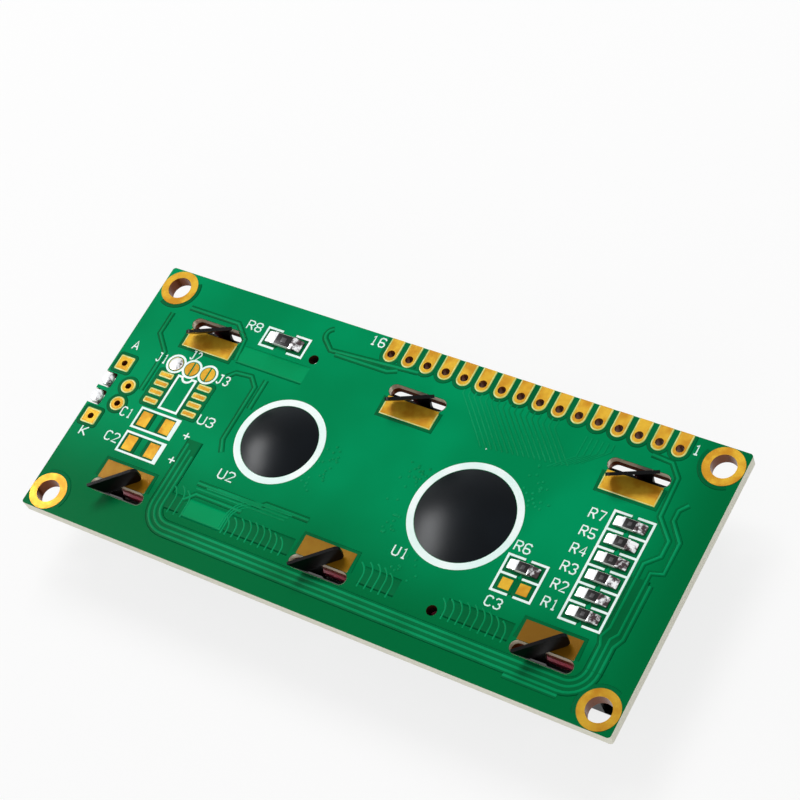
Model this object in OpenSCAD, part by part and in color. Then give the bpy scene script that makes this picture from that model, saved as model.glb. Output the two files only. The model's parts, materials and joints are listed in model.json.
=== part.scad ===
// Character display module, 16 columns by 2 rows, lying on the front of its bezel.
// The origin is on the bezel's front face, under the centre of the board. +Z points out of the board's back.
// +Y is the edge with the header holes, and header hole 1 is at the +X end.

/* [Board] */
// Length of the board
board_l = 80; // [79.5:0.5:90]
// Width of the board
board_w = 36; // [36:0.5:44]
// Thickness of the board
board_t = 1.6; // [0.8:0.1:2.4]
// Corner radius of the board
board_corner_r = 0.4; // [0.2:0.1:2]
// Thickness of the plated copper lands
land_t = 0.05; // [0.03:0.01:0.1]
// Thickness of the white ink
ink_t = 0.03; // [0.02:0.01:0.08]

/* [Mounting holes] */
// Distance from the mounting holes to the ends and edges of the board
mount_inset = 2.5; // [2.3:0.1:3.2]
// Diameter of the mounting holes
mount_d = 3; // [2.2:0.1:3.6]
// Margin between the plated ring of a mounting hole and the edge of the board
mount_ring_margin = 0.05; // [0.02:0.01:0.3]

/* [Header holes] */
// Number of holes in the header row
header_count = 16; // [14:1:16]
// Spacing of the header holes
header_pitch = 2.54; // [2:0.01:2.54]
// Diameter of the finished header holes
header_d = 1; // [0.8:0.05:1.1]
// Distance from the header holes to the edge of the board
header_edge = 2.1; // [1.8:0.1:2.6]
// Distance from header hole 1 to the end of the board
header_end = 8; // [7.5:0.1:9]
// Width of each header land
header_land_w = 1.7; // [1.5:0.05:1.8]
// How far each header land reaches past its hole, from the hole's centre to the land's round end
header_land_reach = 1.05; // [0.85:0.05:1.3]

/* [Bezel] */
// Distance from each end of the bezel to the end of the board
bezel_end_margin = 4.4; // [4:0.1:6]
// Outer width of the bezel
bezel_w = 24.4; // [22:0.2:26]
// Thickness of the bezel's sheet
sheet_t = 0.4; // [0.3:0.05:0.5]
// Outer bend radius of the bezel
bend_r = 0.9; // [0.6:0.1:1.5]
// Side of the square relief at each folded corner
corner_relief = 0.9; // [0.6:0.1:1.2]
// Offset of the bezel from the middle of the board, towards the header edge
bezel_y = -0.4; // [-0.6:0.1:0.4]
// Width of the bezel's face at both ends of the window
face_end_w = 3.1; // [2.6:0.1:6]
// Width of the bezel's face on both sides of the window
face_side_w = 4.2; // [4:0.1:5]
// Corner radius of the window
window_r = 0.6; // [0.2:0.1:2]

/* [Twisted tabs] */
// Distance from each end of the bezel to the middle of the nearest tabs
tab_end = 6.6; // [6:0.1:10]
// Width of the neck that passes through the board
neck_w = 2; // [1.4:0.1:2]
// Reach of the hook from the middle of the neck
hook_reach = 3.9; // [3:0.1:4.2]
// Reach of the sloping side from the middle of the neck
slope_reach = 2.3; // [2:0.1:3]
// Height of the tab's head above the board
head_h = 2.4; // [1.6:0.1:3]
// Gap between the head and the board
head_gap = 0.15; // [0.1:0.05:0.4]
// Corner radius of the head
head_r = 0.7; // [0.2:0.1:0.9]
// Offset of the neck from the middle of its slot, away from the hook
neck_shift = 0.6; // [0:0.1:0.8]
// Twist of the tabs on the header side, in degrees
upper_twist = 23; // [10:1:45]
// Lean of the heads on the header side over their lands, in degrees
upper_lean = 30; // [5:5:35]
// Twist of the tabs on the other side, in degrees
lower_twist = 41; // [10:1:45]
// Length of the slots
slot_l = 7.8; // [7.6:0.1:8.4]
// Play between the twisted necks and the long sides of the slots
slot_play = 0.06; // [0.06:0.01:0.3]
// Length of the plated land beside each slot
earth_l = 7; // [6:0.1:7.4]
// Width of the plated land beside each slot
earth_w = 2.5; // [2:0.1:2.6]

/* [Display cell] */
// Play between the glass and the bezel
glass_play = 0.2; // [0.1:0.05:0.3]
// Thickness of each glass plate
glass_t = 1.1; // [0.55:0.05:1.3]
// Width of the contact ledge along both long edges of the front glass
ledge_w = 2.3; // [2.2:0.1:2.6]
// Gap between the two glass plates
cell_gap = 0.05; // [0.03:0.01:0.1]
// Width of the seal between the plates
seal_w = 1; // [0.6:0.1:1.4]
// Thickness of a polariser
polariser_t = 0.2; // [0.15:0.01:0.25]
// How far the front polariser reaches under the bezel
polariser_lap = 1.2; // [0.6:0.1:1.8]
// Inset of the rear polariser from the rear glass
polariser_inset = 0.6; // [0.3:0.1:1.2]
// Width of each contact strip
strip_w = 1.9; // [1.5:0.1:2]
// Inset of each contact strip from the ends of the front glass
strip_end = 2; // [1:0.1:4]
// Inset of each contact strip from the edge of the front glass
strip_inset = 0.1; // [0:0.05:0.15]

/* [Backlight] */
// Inset of the tray from the ends of the glass
tray_end = 0.5; // [0.1:0.1:1.2]
// Inset of the tray from the long edges of the rear glass
tray_inset = 0.1; // [0:0.1:0.4]
// Wall thickness of the tray
tray_wall = 1; // [0.8:0.1:1.2]
// Floor thickness of the tray
tray_floor = 1.3; // [1:0.1:2.5]
// Thickness of the diffuser film
diffuser_t = 0.15; // [0.1:0.01:0.3]
// Thickness of the light guide
guide_t = 4; // [3.4:0.1:5]
// Thickness of the reflector film
reflector_t = 0.1; // [0.08:0.01:0.2]
// Play round the pieces in the tray
tray_play = 0.1; // [0.05:0.05:0.2]
// Thickness of the lamp board
lamp_board_t = 0.8; // [0.6:0.1:1]
// Number of lamps
lamp_count = 3; // [2:1:4]
// Length of each lamp
lamp_l = 3; // [2:0.1:3.4]
// Height of each lamp
lamp_h = 1.4; // [1:0.1:1.8]
// Thickness of each lamp
lamp_t = 0.9; // [0.6:0.1:1.2]

/* [Backlight pins] */
// Spacing of the two pins and their notches
pin_pitch = 2.6; // [2.5:0.1:3]
// Offset of the pair of pins from the middle of the board
pins_y = -0.6; // [-2:0.1:2]
// Width of each pin
pin_w = 1.3; // [1:0.1:1.5]
// Thickness of each pin
pin_t = 0.3; // [0.2:0.05:0.4]
// Height of the pins above the board
pin_rise = 0.5; // [0.3:0.1:1.2]
// Distance from the end of the board to the pins
pin_inset = 0.7; // [0.5:0.1:0.9]
// Width of each edge notch
notch_w = 2.1; // [1.9:0.1:2.2]
// Depth of each edge notch
notch_d = 1.8; // [1.6:0.1:2]
// Corner radius of each edge notch
notch_r = 0.3; // [0.1:0.05:0.4]
// How far the solder wraps past both faces of a pin
solder_wrap = 0.12; // [0.05:0.01:0.15]
// Distance from the middle of the pins to each square land
square_land_y = 4; // [3.9:0.1:5]
// Side of each square land
square_land_w = 1.9; // [1.6:0.1:2]
// Distance from the end of the board to the square lands
square_land_x = 1.7; // [1.5:0.1:2]
// Distance from the end of the board to the round lands
round_land_x = 4.05; // [3.6:0.05:4.4]
// Diameter of each round land
round_land_d = 1.75; // [1.5:0.05:1.9]
// Diameter of the finished holes in the square and round lands
wire_hole_d = 0.8; // [0.6:0.05:0.9]

/* [Chips under resin] */
// Radius of the controller's resin cap
controller_cap_r = 5.95; // [4.5:0.05:6.2]
// Height of the controller's resin cap
controller_cap_h = 1.5; // [1:0.1:2]
// Radius of the driver's resin cap
driver_cap_r = 4.85; // [3.8:0.05:5.2]
// Height of the driver's resin cap
driver_cap_h = 1.3; // [1:0.1:1.8]
// Side of the controller die
controller_die_w = 4.6; // [3:0.1:5.4]
// Side of the driver die
driver_die_w = 3.6; // [2.4:0.1:4.2]
// Thickness of both dies
die_t = 0.4; // [0.3:0.05:0.5]
// Width of the white ring round each cap
ring_w = 0.85; // [0.5:0.05:1]
// Gap between a cap and its ring
ring_gap = 0.05; // [0.03:0.01:0.15]

/* [Resistors] */
// Length of the seven small resistors
small_l = 2; // [1.8:0.1:2.2]
// Width of the seven small resistors
small_w = 1.25; // [1:0.05:1.4]
// Length of the large resistor
large_l = 3.2; // [2.8:0.1:3.4]
// Width of the large resistor
large_w = 1.6; // [1.3:0.1:1.7]
// Height of the resistors
chip_h = 0.5; // [0.4:0.05:0.7]
// Length of each end cap
chip_cap_l = 0.42; // [0.3:0.02:0.5]
// How far the end caps stand proud of the resistor's body
chip_cap_t = 0.03; // [0.02:0.01:0.05]
// Thickness of the solder under each end cap
solder_t = 0.06; // [0.04:0.01:0.1]
// Reach of the solder in front of each end cap
solder_reach = 1.1; // [0.6:0.05:1.3]
// Number of resistors in the column
column_count = 6; // [2:1:6]
// Spacing of the resistors in the column
column_pitch = 2.32; // [2:0.02:2.4]
// Width of a printed line
line_w = 0.28; // [0.15:0.01:0.35]
// Gap between the solder of a resistor and its printed box
box_margin = 0.5; // [0.35:0.05:0.7]

/* [Places on the back] */
// Distance from the middle of the controller to the +X end of the board
controller_end = 27.1; // [25:0.1:30]
// Offset of the controller from the middle of the board
controller_y = -0.2; // [-1:0.1:1]
// Distance from the middle of the driver to the -X end of the board
driver_end = 26.9; // [25:0.1:30]
// Offset of the driver from the middle of the board
driver_y = 0.6; // [-1:0.1:1.5]
// Distance from the column of resistors to the +X end of the board
column_end = 8.9; // [8:0.1:9.5]
// Offset of the first resistor of the column from the middle of the board
column_y = -6.4; // [-7:0.1:-5]
// Distance between the column and the pair beside it
pair_offset = 8.7; // [7:0.1:10]
// Height of the pair's resistor above the first resistor of the column
pair_rise = 2.6; // [2:0.1:6]
// Distance between the two places of the pair
pair_pitch = 2.3; // [2.2:0.1:3]
// Distance from the large resistor to the middle of the slot beside it
large_offset = 9.2; // [8.5:0.1:11]
// Distance from the large resistor to the header edge of the board
large_edge = 5.05; // [4.8:0.05:5.5]
// Distance from the two capacitor places to the -X end of the board
capacitor_end = 10.5; // [10:0.1:12]
// Offset of the first capacitor place from the middle of the board
capacitor_y = -2.65; // [-3:0.05:-2.5]
// Distance between the two capacitor places
capacitor_pitch = 3.5; // [3.1:0.1:4]
// Distance from the small chip's place to the -X end of the board
chip_end = 10.9; // [10:0.1:12]
// Offset of the small chip's place from the middle of the board
chip_y = 1.85; // [1.7:0.05:2]
// Distance from the middle jumper to the -X end of the board
jumper_end = 10.75; // [10:0.05:12]
// Offset of the jumpers from the middle of the board
jumper_y = 5.6; // [5.5:0.1:6]
// Distance from both tooling holes to their ends of the board
tooling_end = 25; // [22:0.5:26]
// Distance from both tooling holes to their edges of the board
tooling_edge = 6; // [5.5:0.1:7]
// Diameter of the tooling holes
tooling_d = 1.3; // [1:0.1:1.6]

/* [Hidden] */
$fn = 64;
// Segments of the large spheres that the resin caps are cut from
ball_fn = 240;

// Overlap of pieces that are joined, and overshoot of cuts
eps = 0.01;
cut = 1;
// Play between a plated barrel and the board, and the barrel's wall
barrel_play = 0.01;
barrel_t = 0.05;

// Heights of the stack, from the bezel's front face to the back of the board
front_polariser_z = sheet_t;
front_glass_z = front_polariser_z + polariser_t;
cell_z = front_glass_z + glass_t;
rear_glass_z = cell_z + cell_gap;
rear_polariser_z = rear_glass_z + glass_t;
diffuser_z = rear_polariser_z + polariser_t;
guide_z = diffuser_z + diffuser_t;
reflector_z = guide_z + guide_t;
tray_floor_z = reflector_z + reflector_t;
board_z = tray_floor_z + tray_floor;
top_z = board_z + board_t;

// Plan sizes of the bezel, the display and the backlight
bezel_l = board_l - 2 * bezel_end_margin;
window_l = bezel_l - 2 * face_end_w;
window_w = bezel_w - 2 * face_side_w;
front_glass_l = bezel_l - 2 * (sheet_t + glass_play);
front_glass_w = bezel_w - 2 * (sheet_t + glass_play);
rear_glass_w = front_glass_w - 2 * ledge_w;
strip_y = front_glass_w / 2 - strip_inset - strip_w / 2;
strip_l = front_glass_l - 2 * strip_end;
tray_l = front_glass_l - 2 * tray_end;
tray_w = rear_glass_w - 2 * tray_inset;
pocket_l = tray_l - 2 * tray_wall;
pocket_w = tray_w - 2 * tray_wall;
pocket_x = -pocket_l / 2;
lamp_board_x = pocket_x + tray_play;
lamp_x = lamp_board_x + lamp_board_t;
guide_x = lamp_x + lamp_t + tray_play;
guide_l = pocket_l / 2 - tray_play - guide_x;
guide_w = pocket_w - 2 * tray_play;
lamp_pitch = guide_w / lamp_count;

// Slots and tabs: both rows have the wall of the bezel in the middle of their slots
wall_y = bezel_w / 2 - sheet_t / 2;
tab_pitch = bezel_l / 2 - tab_end;
max_twist = max(upper_twist, lower_twist);
slot_w = neck_w * sin(max_twist) + sheet_t * cos(max_twist) + 2 * slot_play;
twist_h = board_t * 0.75;
twist_z = top_z + head_gap - twist_h;
twist_slices = 6;

// Mounting holes
mount_x = board_l / 2 - mount_inset;
mount_y = board_w / 2 - mount_inset;
mount_ring_r = mount_inset - mount_ring_margin;

// Backlight pins: they leave the tray under the board and turn up in the notches
board_end_x = -board_l / 2;
pin_x = board_end_x + pin_inset;
pin_drop = 0.3;
pin_leg_z = board_z - pin_drop - pin_t;
pin_slot_play = 0.25;
pin_ys = [pins_y + pin_pitch / 2, pins_y - pin_pitch / 2];
notch_gap = (notch_w - pin_w) / 2;

// Header row
header_x1 = board_l / 2 - header_end;
header_y = board_w / 2 - header_edge;
header_xs = [for (i = [0:header_count - 1]) header_x1 - i * header_pitch];

// Places of the parts on the back
controller_at = [board_l / 2 - controller_end, controller_y];
driver_at = [board_end_x + driver_end, driver_y];
column_at = [board_l / 2 - column_end, column_y];
resistor_6_at = column_at + [-pair_offset, pair_rise];
resistor_8_at = [large_offset - tab_pitch, board_w / 2 - large_edge];
capacitor_1_at = [board_end_x + capacitor_end, capacitor_y];
capacitor_2_at = capacitor_1_at - [0, capacitor_pitch];
capacitor_3_at = resistor_6_at - [0, pair_pitch];
chip_3_at = [board_end_x + chip_end, chip_y];
jumper_at = [board_end_x + jumper_end, jumper_y];
tooling_at = [board_l / 2 - tooling_end, tooling_edge - board_w / 2];

// Resistor, capacitor, chip and jumper footprints
column_ats = [for (i = [0:column_count - 1]) column_at + [0, i * column_pitch]];
box_l = small_l + 2 * (solder_reach + box_margin);
box_gap = 0.7;
large_box_l = large_l + 2 * (solder_reach + box_margin);
large_box_w = large_w + 2 * box_margin + line_w;
large_box_gap = 1.9;
capacitor_bar_w = 0.6;
capacitor_land = [1.45, 2];
capacitor_land_pitch = 3.35;
capacitor_box_l = capacitor_land_pitch + capacitor_land[0] + 2 * box_margin + line_w;
capacitor_box_w = capacitor_land[1] + 2 * box_margin;
small_land = [1.35, 1.35];
small_land_pitch = 2.25;
chip_land = [1.9, 0.72];
chip_land_rows = 4;
chip_land_pitch = 1.27;
chip_land_span = 5.8;
chip_box = [chip_land_span - chip_land[0] - 2 * box_margin, chip_land_rows * chip_land_pitch];
chip_notch_r = 0.85;
jumper_land_r = 0.95;
jumper_margin = 0.12;
jumper_ring_r = jumper_land_r + jumper_margin + line_w;
jumper_pitch = 2 * jumper_ring_r - line_w;
jumper_slit = 0.22;
jumper_blob_r = 0.9;
jumper_blob_h = 0.35;

// Flat outlines

module rounded_rect(l, w, r) {
    square([l - 2 * r, w], center = true);
    square([l, w - 2 * r], center = true);
    for (sx = [-1, 1]) {
        for (sy = [-1, 1]) {
            translate([sx * (l / 2 - r), sy * (w / 2 - r)]) circle(r);
        }
    }
}

module stadium(l, w) {
    square([l - w, w], center = true);
    for (s = [-1, 1]) {
        translate([s * (l - w) / 2, 0]) circle(w / 2);
    }
}

module ring(r_in, r_out) {
    difference() {
        circle(r_out);
        circle(r_in);
    }
}

module frame_line(l, w, t) {
    difference() {
        square([l, w], center = true);
        square([l - 2 * t, w - 2 * t], center = true);
    }
}

// A printed box whose two long sides are broken in the middle
module bracket_pair(l, w, gap, t) {
    difference() {
        frame_line(l, w, t);
        square([gap, w + cut], center = true);
    }
}

// Places for what repeats

module at_mounts() {
    for (sx = [-1, 1]) {
        for (sy = [-1, 1]) {
            translate([sx * mount_x, sy * mount_y]) children();
        }
    }
}

// The lower row is as drawn, and the upper row is turned half round
module at_slots() {
    for (i = [-1, 0, 1]) {
        translate([i * tab_pitch, bezel_y - wall_y]) children(0);
        translate([i * tab_pitch, bezel_y + wall_y]) rotate(180) children(1);
    }
}

// Board

module board_cuts() {
    at_mounts() barrel_hole(0, 0, mount_d);
    for (x = header_xs) {
        barrel_hole(x, header_y, header_d);
    }
    at_slots() {
        slot_cut();
        slot_cut();
    }
    for (y = pin_ys) {
        translate([board_end_x, y, board_z - cut]) linear_extrude(board_t + 2 * cut)
            rounded_rect(2 * notch_d, notch_w, notch_r);
        barrel_hole(board_end_x + round_land_x, y, wire_hole_d);
    }
    for (s = [-1, 1]) {
        barrel_hole(board_end_x + square_land_x, pins_y + s * square_land_y, wire_hole_d);
    }
    for (s = [-1, 1]) {
        translate([s * tooling_at[0], s * tooling_at[1], board_z - cut])
            cylinder(h = board_t + 2 * cut, d = tooling_d);
    }
}

module slot_cut() {
    translate([0, 0, board_z - cut]) linear_extrude(board_t + 2 * cut) stadium(slot_l, slot_w);
}

module barrel_hole(x, y, d) {
    translate([x, y, board_z - cut]) cylinder(h = board_t + 2 * cut, d = d + 2 * (barrel_t + barrel_play));
}

module pcb() {
    color([0.02, 0.47, 0.29]) difference() {
        translate([0, 0, board_z]) linear_extrude(board_t) rounded_rect(board_l, board_w, board_corner_r);
        board_cuts();
    }
}

// Bezel: one folded sheet

// Section across a folded tray whose open side faces up
module folded_section(w, h, r) {
    translate([-w / 2 + r, 0]) square([w - 2 * r, h]);
    translate([-w / 2, r]) square([w, h - r]);
    for (s = [-1, 1]) {
        translate([s * (w / 2 - r), r]) circle(r);
    }
}

module folded_block(l, w, h, r) {
    intersection() {
        translate([-l / 2, 0, 0]) rotate([90, 0, 90]) linear_extrude(l) folded_section(w, h, r);
        translate([0, w / 2, 0]) rotate([90, 0, 0]) linear_extrude(w) folded_section(l, h, r);
    }
}

// Head of a tab in its own plane: hook on the right, sloping side on the left
module head_outline() {
    difference() {
        polygon([
            [-neck_w / 2, 0],
            [-slope_reach, head_h],
            [hook_reach, head_h],
            [hook_reach, 0]
        ]);
        for (z = [0, head_h]) {
            head_corner(z, z == 0 ? 1 : -1);
        }
    }
}

// What rounding takes off a corner of the hook
module head_corner(z, s) {
    translate([hook_reach - head_r, z + s * head_r]) difference() {
        translate([0, s > 0 ? -head_r - eps : 0]) square([head_r + eps, head_r + eps]);
        circle(head_r);
    }
}

// Wedge that turns the neck into a leaning head, sunk a little into both of them
module head_bend(lean, rise) {
    reach_y = sheet_t / 2 * cos(lean);
    reach_z = sheet_t / 2 * sin(lean);
    sink_y = eps * sin(lean);
    sink_z = eps * cos(lean);
    translate([-neck_w / 2, 0, 0]) rotate([90, 0, 90]) linear_extrude(neck_w) polygon([
        [-sheet_t / 2, -rise - eps],
        [sheet_t / 2, -rise - eps],
        [reach_y, -reach_z],
        [reach_y + sink_y, -reach_z + sink_z],
        [-reach_y + sink_y, reach_z + sink_z],
        [-reach_y, reach_z]
    ]);
}

// One tab: a straight neck, a twisted neck and a flat head, which may lean towards the middle of the board
module tab(twist, lean) {
    rise = sheet_t * sin(lean);
    translate([-neck_shift, 0, 0]) {
        translate([-neck_w / 2, -sheet_t / 2, board_z - eps])
            cube([neck_w, sheet_t, twist_z - board_z + 2 * eps]);
        translate([0, 0, twist_z])
            linear_extrude(twist_h, twist = -twist, slices = twist_slices, segments = 4)
            square([neck_w, sheet_t], center = true);
        translate([0, 0, twist_z + twist_h + rise]) rotate(twist) {
            if (lean > 0) head_bend(lean, rise);
            rotate([90 - lean, 0, 0]) translate([0, 0, -sheet_t / 2]) linear_extrude(sheet_t) head_outline();
        }
    }
}

module bezel() {
    color([0.05, 0.05, 0.06]) {
        difference() {
            translate([0, bezel_y, 0]) folded_block(bezel_l, bezel_w, board_z, bend_r);
            translate([0, bezel_y, sheet_t]) folded_block(
                bezel_l - 2 * sheet_t, bezel_w - 2 * sheet_t, board_z, bend_r - sheet_t);
            translate([0, bezel_y, -cut]) linear_extrude(2 * cut) rounded_rect(window_l, window_w, window_r);
            corner_reliefs();
            pin_exit();
        }
        at_slots() {
            tab(lower_twist, 0);
            tab(upper_twist, upper_lean);
        }
    }
}

module corner_reliefs() {
    for (sx = [-1, 1]) {
        for (sy = [-1, 1]) {
            translate([sx * bezel_l / 2, bezel_y + sy * bezel_w / 2, bend_r])
                linear_extrude(board_z) square(2 * corner_relief, center = true);
        }
    }
}

// Cut-out in the end wall for the backlight pins
module pin_exit() {
    exit_w = pin_pitch + pin_w + 4 * pin_slot_play;
    translate([-bezel_l / 2 - cut, pins_y - exit_w / 2, pin_leg_z - pin_slot_play])
        cube([2 * cut, exit_w, board_z]);
}

// Display cell

module plate(l, w, t, z) {
    translate([-l / 2, bezel_y - w / 2, z]) cube([l, w, t]);
}

module front_polariser() {
    color([0.55, 0.6, 0.35]) plate(window_l + 2 * polariser_lap, window_w + 2 * polariser_lap, polariser_t,
        front_polariser_z);
}

module front_glass() {
    color([0.75, 0.85, 0.8]) plate(front_glass_l, front_glass_w, glass_t, front_glass_z);
}

module cell_seal() {
    color([0.85, 0.85, 0.75]) translate([0, bezel_y, cell_z]) linear_extrude(cell_gap)
        frame_line(front_glass_l, rear_glass_w, seal_w);
}

module liquid_crystal() {
    color([0.6, 0.7, 0.3]) plate(front_glass_l - 2 * seal_w, rear_glass_w - 2 * seal_w, cell_gap, cell_z);
}

module rear_glass() {
    color([0.75, 0.85, 0.8]) plate(front_glass_l, rear_glass_w, glass_t, rear_glass_z);
}

module rear_polariser() {
    color([0.6, 0.6, 0.5]) plate(front_glass_l - 2 * polariser_inset, rear_glass_w - 2 * polariser_inset,
        polariser_t, rear_polariser_z);
}

module contact_strip(side) {
    color([0.78, 0.25, 0.35]) translate([-strip_l / 2, bezel_y + side * strip_y - strip_w / 2, cell_z])
        cube([strip_l, strip_w, board_z - cell_z]);
}

module upper_contact_strip() {
    contact_strip(1);
}

module lower_contact_strip() {
    contact_strip(-1);
}

// Backlight

module in_pocket(l, w, t, x, z) {
    translate([x, bezel_y - w / 2, z]) cube([l, w, t]);
}

module diffuser_film() {
    color([0.95, 0.95, 0.92]) in_pocket(guide_l, guide_w, diffuser_t, guide_x, diffuser_z);
}

module light_guide() {
    color([0.85, 0.92, 0.9]) in_pocket(guide_l, guide_w, guide_t, guide_x, guide_z);
}

module reflector_film() {
    color([0.9, 0.9, 0.92]) in_pocket(guide_l, guide_w, reflector_t, guide_x, reflector_z);
}

module lamp_board() {
    lamp_board_h = board_z - guide_z - pin_drop;
    color([0.9, 0.9, 0.85]) in_pocket(lamp_board_t, guide_w, lamp_board_h, lamp_board_x, guide_z);
}

module lamps() {
    color([0.95, 0.9, 0.4]) for (i = [0:lamp_count - 1]) {
        y = bezel_y + (i - (lamp_count - 1) / 2) * lamp_pitch;
        translate([lamp_x, y - lamp_l / 2, guide_z + (guide_t - lamp_h) / 2]) cube([lamp_t, lamp_l, lamp_h]);
    }
}

module backlight_tray() {
    color([0.93, 0.93, 0.9]) difference() {
        plate(tray_l, tray_w, board_z - diffuser_z, diffuser_z);
        translate([pocket_x, bezel_y - pocket_w / 2, diffuser_z - cut])
            cube([pocket_l, pocket_w, tray_floor_z - diffuser_z + cut]);
        lamp_well();
        for (y = pin_ys) {
            translate([-tray_l / 2 - cut, y - pin_w / 2 - pin_slot_play, pin_leg_z - pin_slot_play])
                cube([tray_wall + 2 * cut, pin_w + 2 * pin_slot_play, board_z]);
        }
    }
}

// The lamp board reaches through the tray's floor to the pins
module lamp_well() {
    translate([pocket_x, bezel_y - pocket_w / 2, tray_floor_z - cut])
        cube([lamp_board_t + 2 * tray_play, pocket_w, board_z - tray_floor_z + 2 * cut]);
}

// One pin: a flat strip with a leg under the board and a foot that turns up in its notch
module pin(y) {
    color([0.8, 0.8, 0.8]) translate([0, y + pin_w / 2, 0]) rotate([90, 0, 0])
        linear_extrude(pin_w) polygon([
            [lamp_board_x, pin_leg_z],
            [lamp_board_x, pin_leg_z + pin_t],
            [pin_x + pin_t, pin_leg_z + pin_t],
            [pin_x + pin_t, top_z + pin_rise],
            [pin_x, top_z + pin_rise],
            [pin_x, pin_leg_z]
        ]);
}

module backlight_pin_a() {
    pin(pin_ys[0]);
}

module backlight_pin_k() {
    pin(pin_ys[1]);
}

// Solder on both sides of each pin, filling the notch and rising up the pin
module pin_solder() {
    color([0.82, 0.82, 0.82]) for (y = pin_ys) {
        for (s = [-1, 1]) {
            translate([pin_x - solder_wrap, y + s * pin_w / 2, 0]) mirror([0, s < 0 ? 1 : 0, 0])
                rotate([90, 0, 90]) linear_extrude(pin_t + 2 * solder_wrap) polygon([
                    [0, board_z + board_t / 3],
                    [notch_gap, board_z + board_t / 3],
                    [notch_gap, top_z],
                    [0, top_z + pin_rise * 0.8]
                ]);
        }
    }
}

// Chips under resin

// A spherical cap of base radius r and height h
module cap(at, r, h, z) {
    ball_r = (r * r + h * h) / (2 * h);
    translate([at[0], at[1], z]) intersection() {
        translate([0, 0, h - ball_r]) sphere(ball_r, $fn = ball_fn);
        cylinder(h = h + cut, r = r + cut);
    }
}

module die(at, w) {
    color([0.35, 0.35, 0.4]) translate([at[0] - w / 2, at[1] - w / 2, top_z]) cube([w, w, die_t]);
}

module resin_cap(at, r, h, w) {
    color([0.08, 0.08, 0.1]) difference() {
        cap(at, r, h, top_z);
        translate([at[0] - w / 2, at[1] - w / 2, top_z - cut]) cube([w, w, die_t + cut]);
    }
}

module controller_die() {
    die(controller_at, controller_die_w);
}

module controller_cap() {
    resin_cap(controller_at, controller_cap_r, controller_cap_h, controller_die_w);
}

module driver_die() {
    die(driver_at, driver_die_w);
}

module driver_cap() {
    resin_cap(driver_at, driver_cap_r, driver_cap_h, driver_die_w);
}

// Resistors

module resistor(at, l, w) {
    translate([at[0], at[1], top_z + solder_t]) {
        color([0.12, 0.12, 0.13]) translate([-l / 2 + eps, -w / 2 + chip_cap_t, chip_cap_t])
            cube([l - 2 * eps, w - 2 * chip_cap_t, chip_h - 2 * chip_cap_t]);
        color([0.8, 0.8, 0.8]) for (x = [-l / 2, l / 2 - chip_cap_l]) {
            translate([x, -w / 2, 0]) cube([chip_cap_l, w, chip_h]);
        }
    }
}

module small_resistor(i) {
    resistor(column_ats[i], small_l, small_w);
}

module solder_pair(at, l, w) {
    for (s = [0, 1]) {
        translate([at[0], at[1] + w / 2, top_z]) mirror([s, 0, 0]) rotate([90, 0, 0])
            linear_extrude(w) polygon([
                [l / 2 - chip_cap_l, 0],
                [l / 2 + solder_reach, 0],
                [l / 2 + solder_reach, solder_t],
                [l / 2 + solder_reach / 3, chip_h * 0.35],
                [l / 2, chip_h * 0.8],
                [l / 2, solder_t],
                [l / 2 - chip_cap_l, solder_t]
            ]);
    }
}

module resistor_solder() {
    color([0.85, 0.85, 0.85]) {
        for (at = column_ats) {
            solder_pair(at, small_l, small_w);
        }
        solder_pair(resistor_6_at, small_l, small_w);
        solder_pair(resistor_8_at, large_l, large_w);
    }
}

// Plated lands

module on_back(t) {
    translate([0, 0, top_z]) linear_extrude(t) children();
}

module on_front(t) {
    translate([0, 0, board_z - t]) linear_extrude(t) children();
}

// A plated barrel with a land on both faces of the board
module eyelet(x, y, d) {
    difference() {
        union() {
            on_back(land_t) children(0);
            on_front(land_t) children(1);
            translate([x, y, board_z - eps]) cylinder(h = board_t + 2 * eps, d = d + 2 * barrel_t);
        }
        translate([x, y, board_z - cut]) cylinder(h = board_t + 2 * cut, d = d);
    }
}

module mounting_rings() {
    color([0.85, 0.65, 0.25]) at_mounts() eyelet(0, 0, mount_d) {
        circle(mount_ring_r);
        circle(mount_ring_r);
    }
}

// The land on the back runs off the edge of the board, and the one on the front is round
module header_lands() {
    end_y = header_y - header_land_reach + header_land_w / 2;
    color([0.85, 0.65, 0.25]) for (x = header_xs) {
        eyelet(x, header_y, header_d) {
            translate([x, end_y]) {
                circle(d = header_land_w);
                translate([-header_land_w / 2, 0]) square([header_land_w, board_w / 2 - end_y]);
            }
            translate([x, header_y]) circle(d = header_land_w);
        }
    }
}

module backlight_lands() {
    color([0.85, 0.65, 0.25]) {
        for (s = [-1, 1]) {
            x = board_end_x + square_land_x;
            y = pins_y + s * square_land_y;
            eyelet(x, y, wire_hole_d) {
                translate([x, y]) square(square_land_w, center = true);
                translate([x, y]) square(square_land_w, center = true);
            }
        }
        for (y = pin_ys) {
            x = board_end_x + round_land_x;
            eyelet(x, y, wire_hole_d) {
                translate([x, y]) circle(d = round_land_d);
                translate([x, y]) circle(d = round_land_d);
            }
        }
    }
}

// A land beside each slot, and the plating that lines the slot
module earth_land() {
    translate([-earth_l / 2, slot_w / 2, top_z]) cube([earth_l, earth_w, land_t]);
    translate([0, 0, board_z]) linear_extrude(board_t + land_t) difference() {
        stadium(slot_l, slot_w);
        stadium(slot_l - 2 * land_t, slot_w - 2 * land_t);
    }
}

module earth_lands() {
    color([0.85, 0.65, 0.25]) at_slots() {
        earth_land();
        earth_land();
    }
}

module land_pair(at, size, pitch) {
    for (s = [-1, 1]) {
        translate(at + [s * pitch / 2, 0]) square(size, center = true);
    }
}

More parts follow.
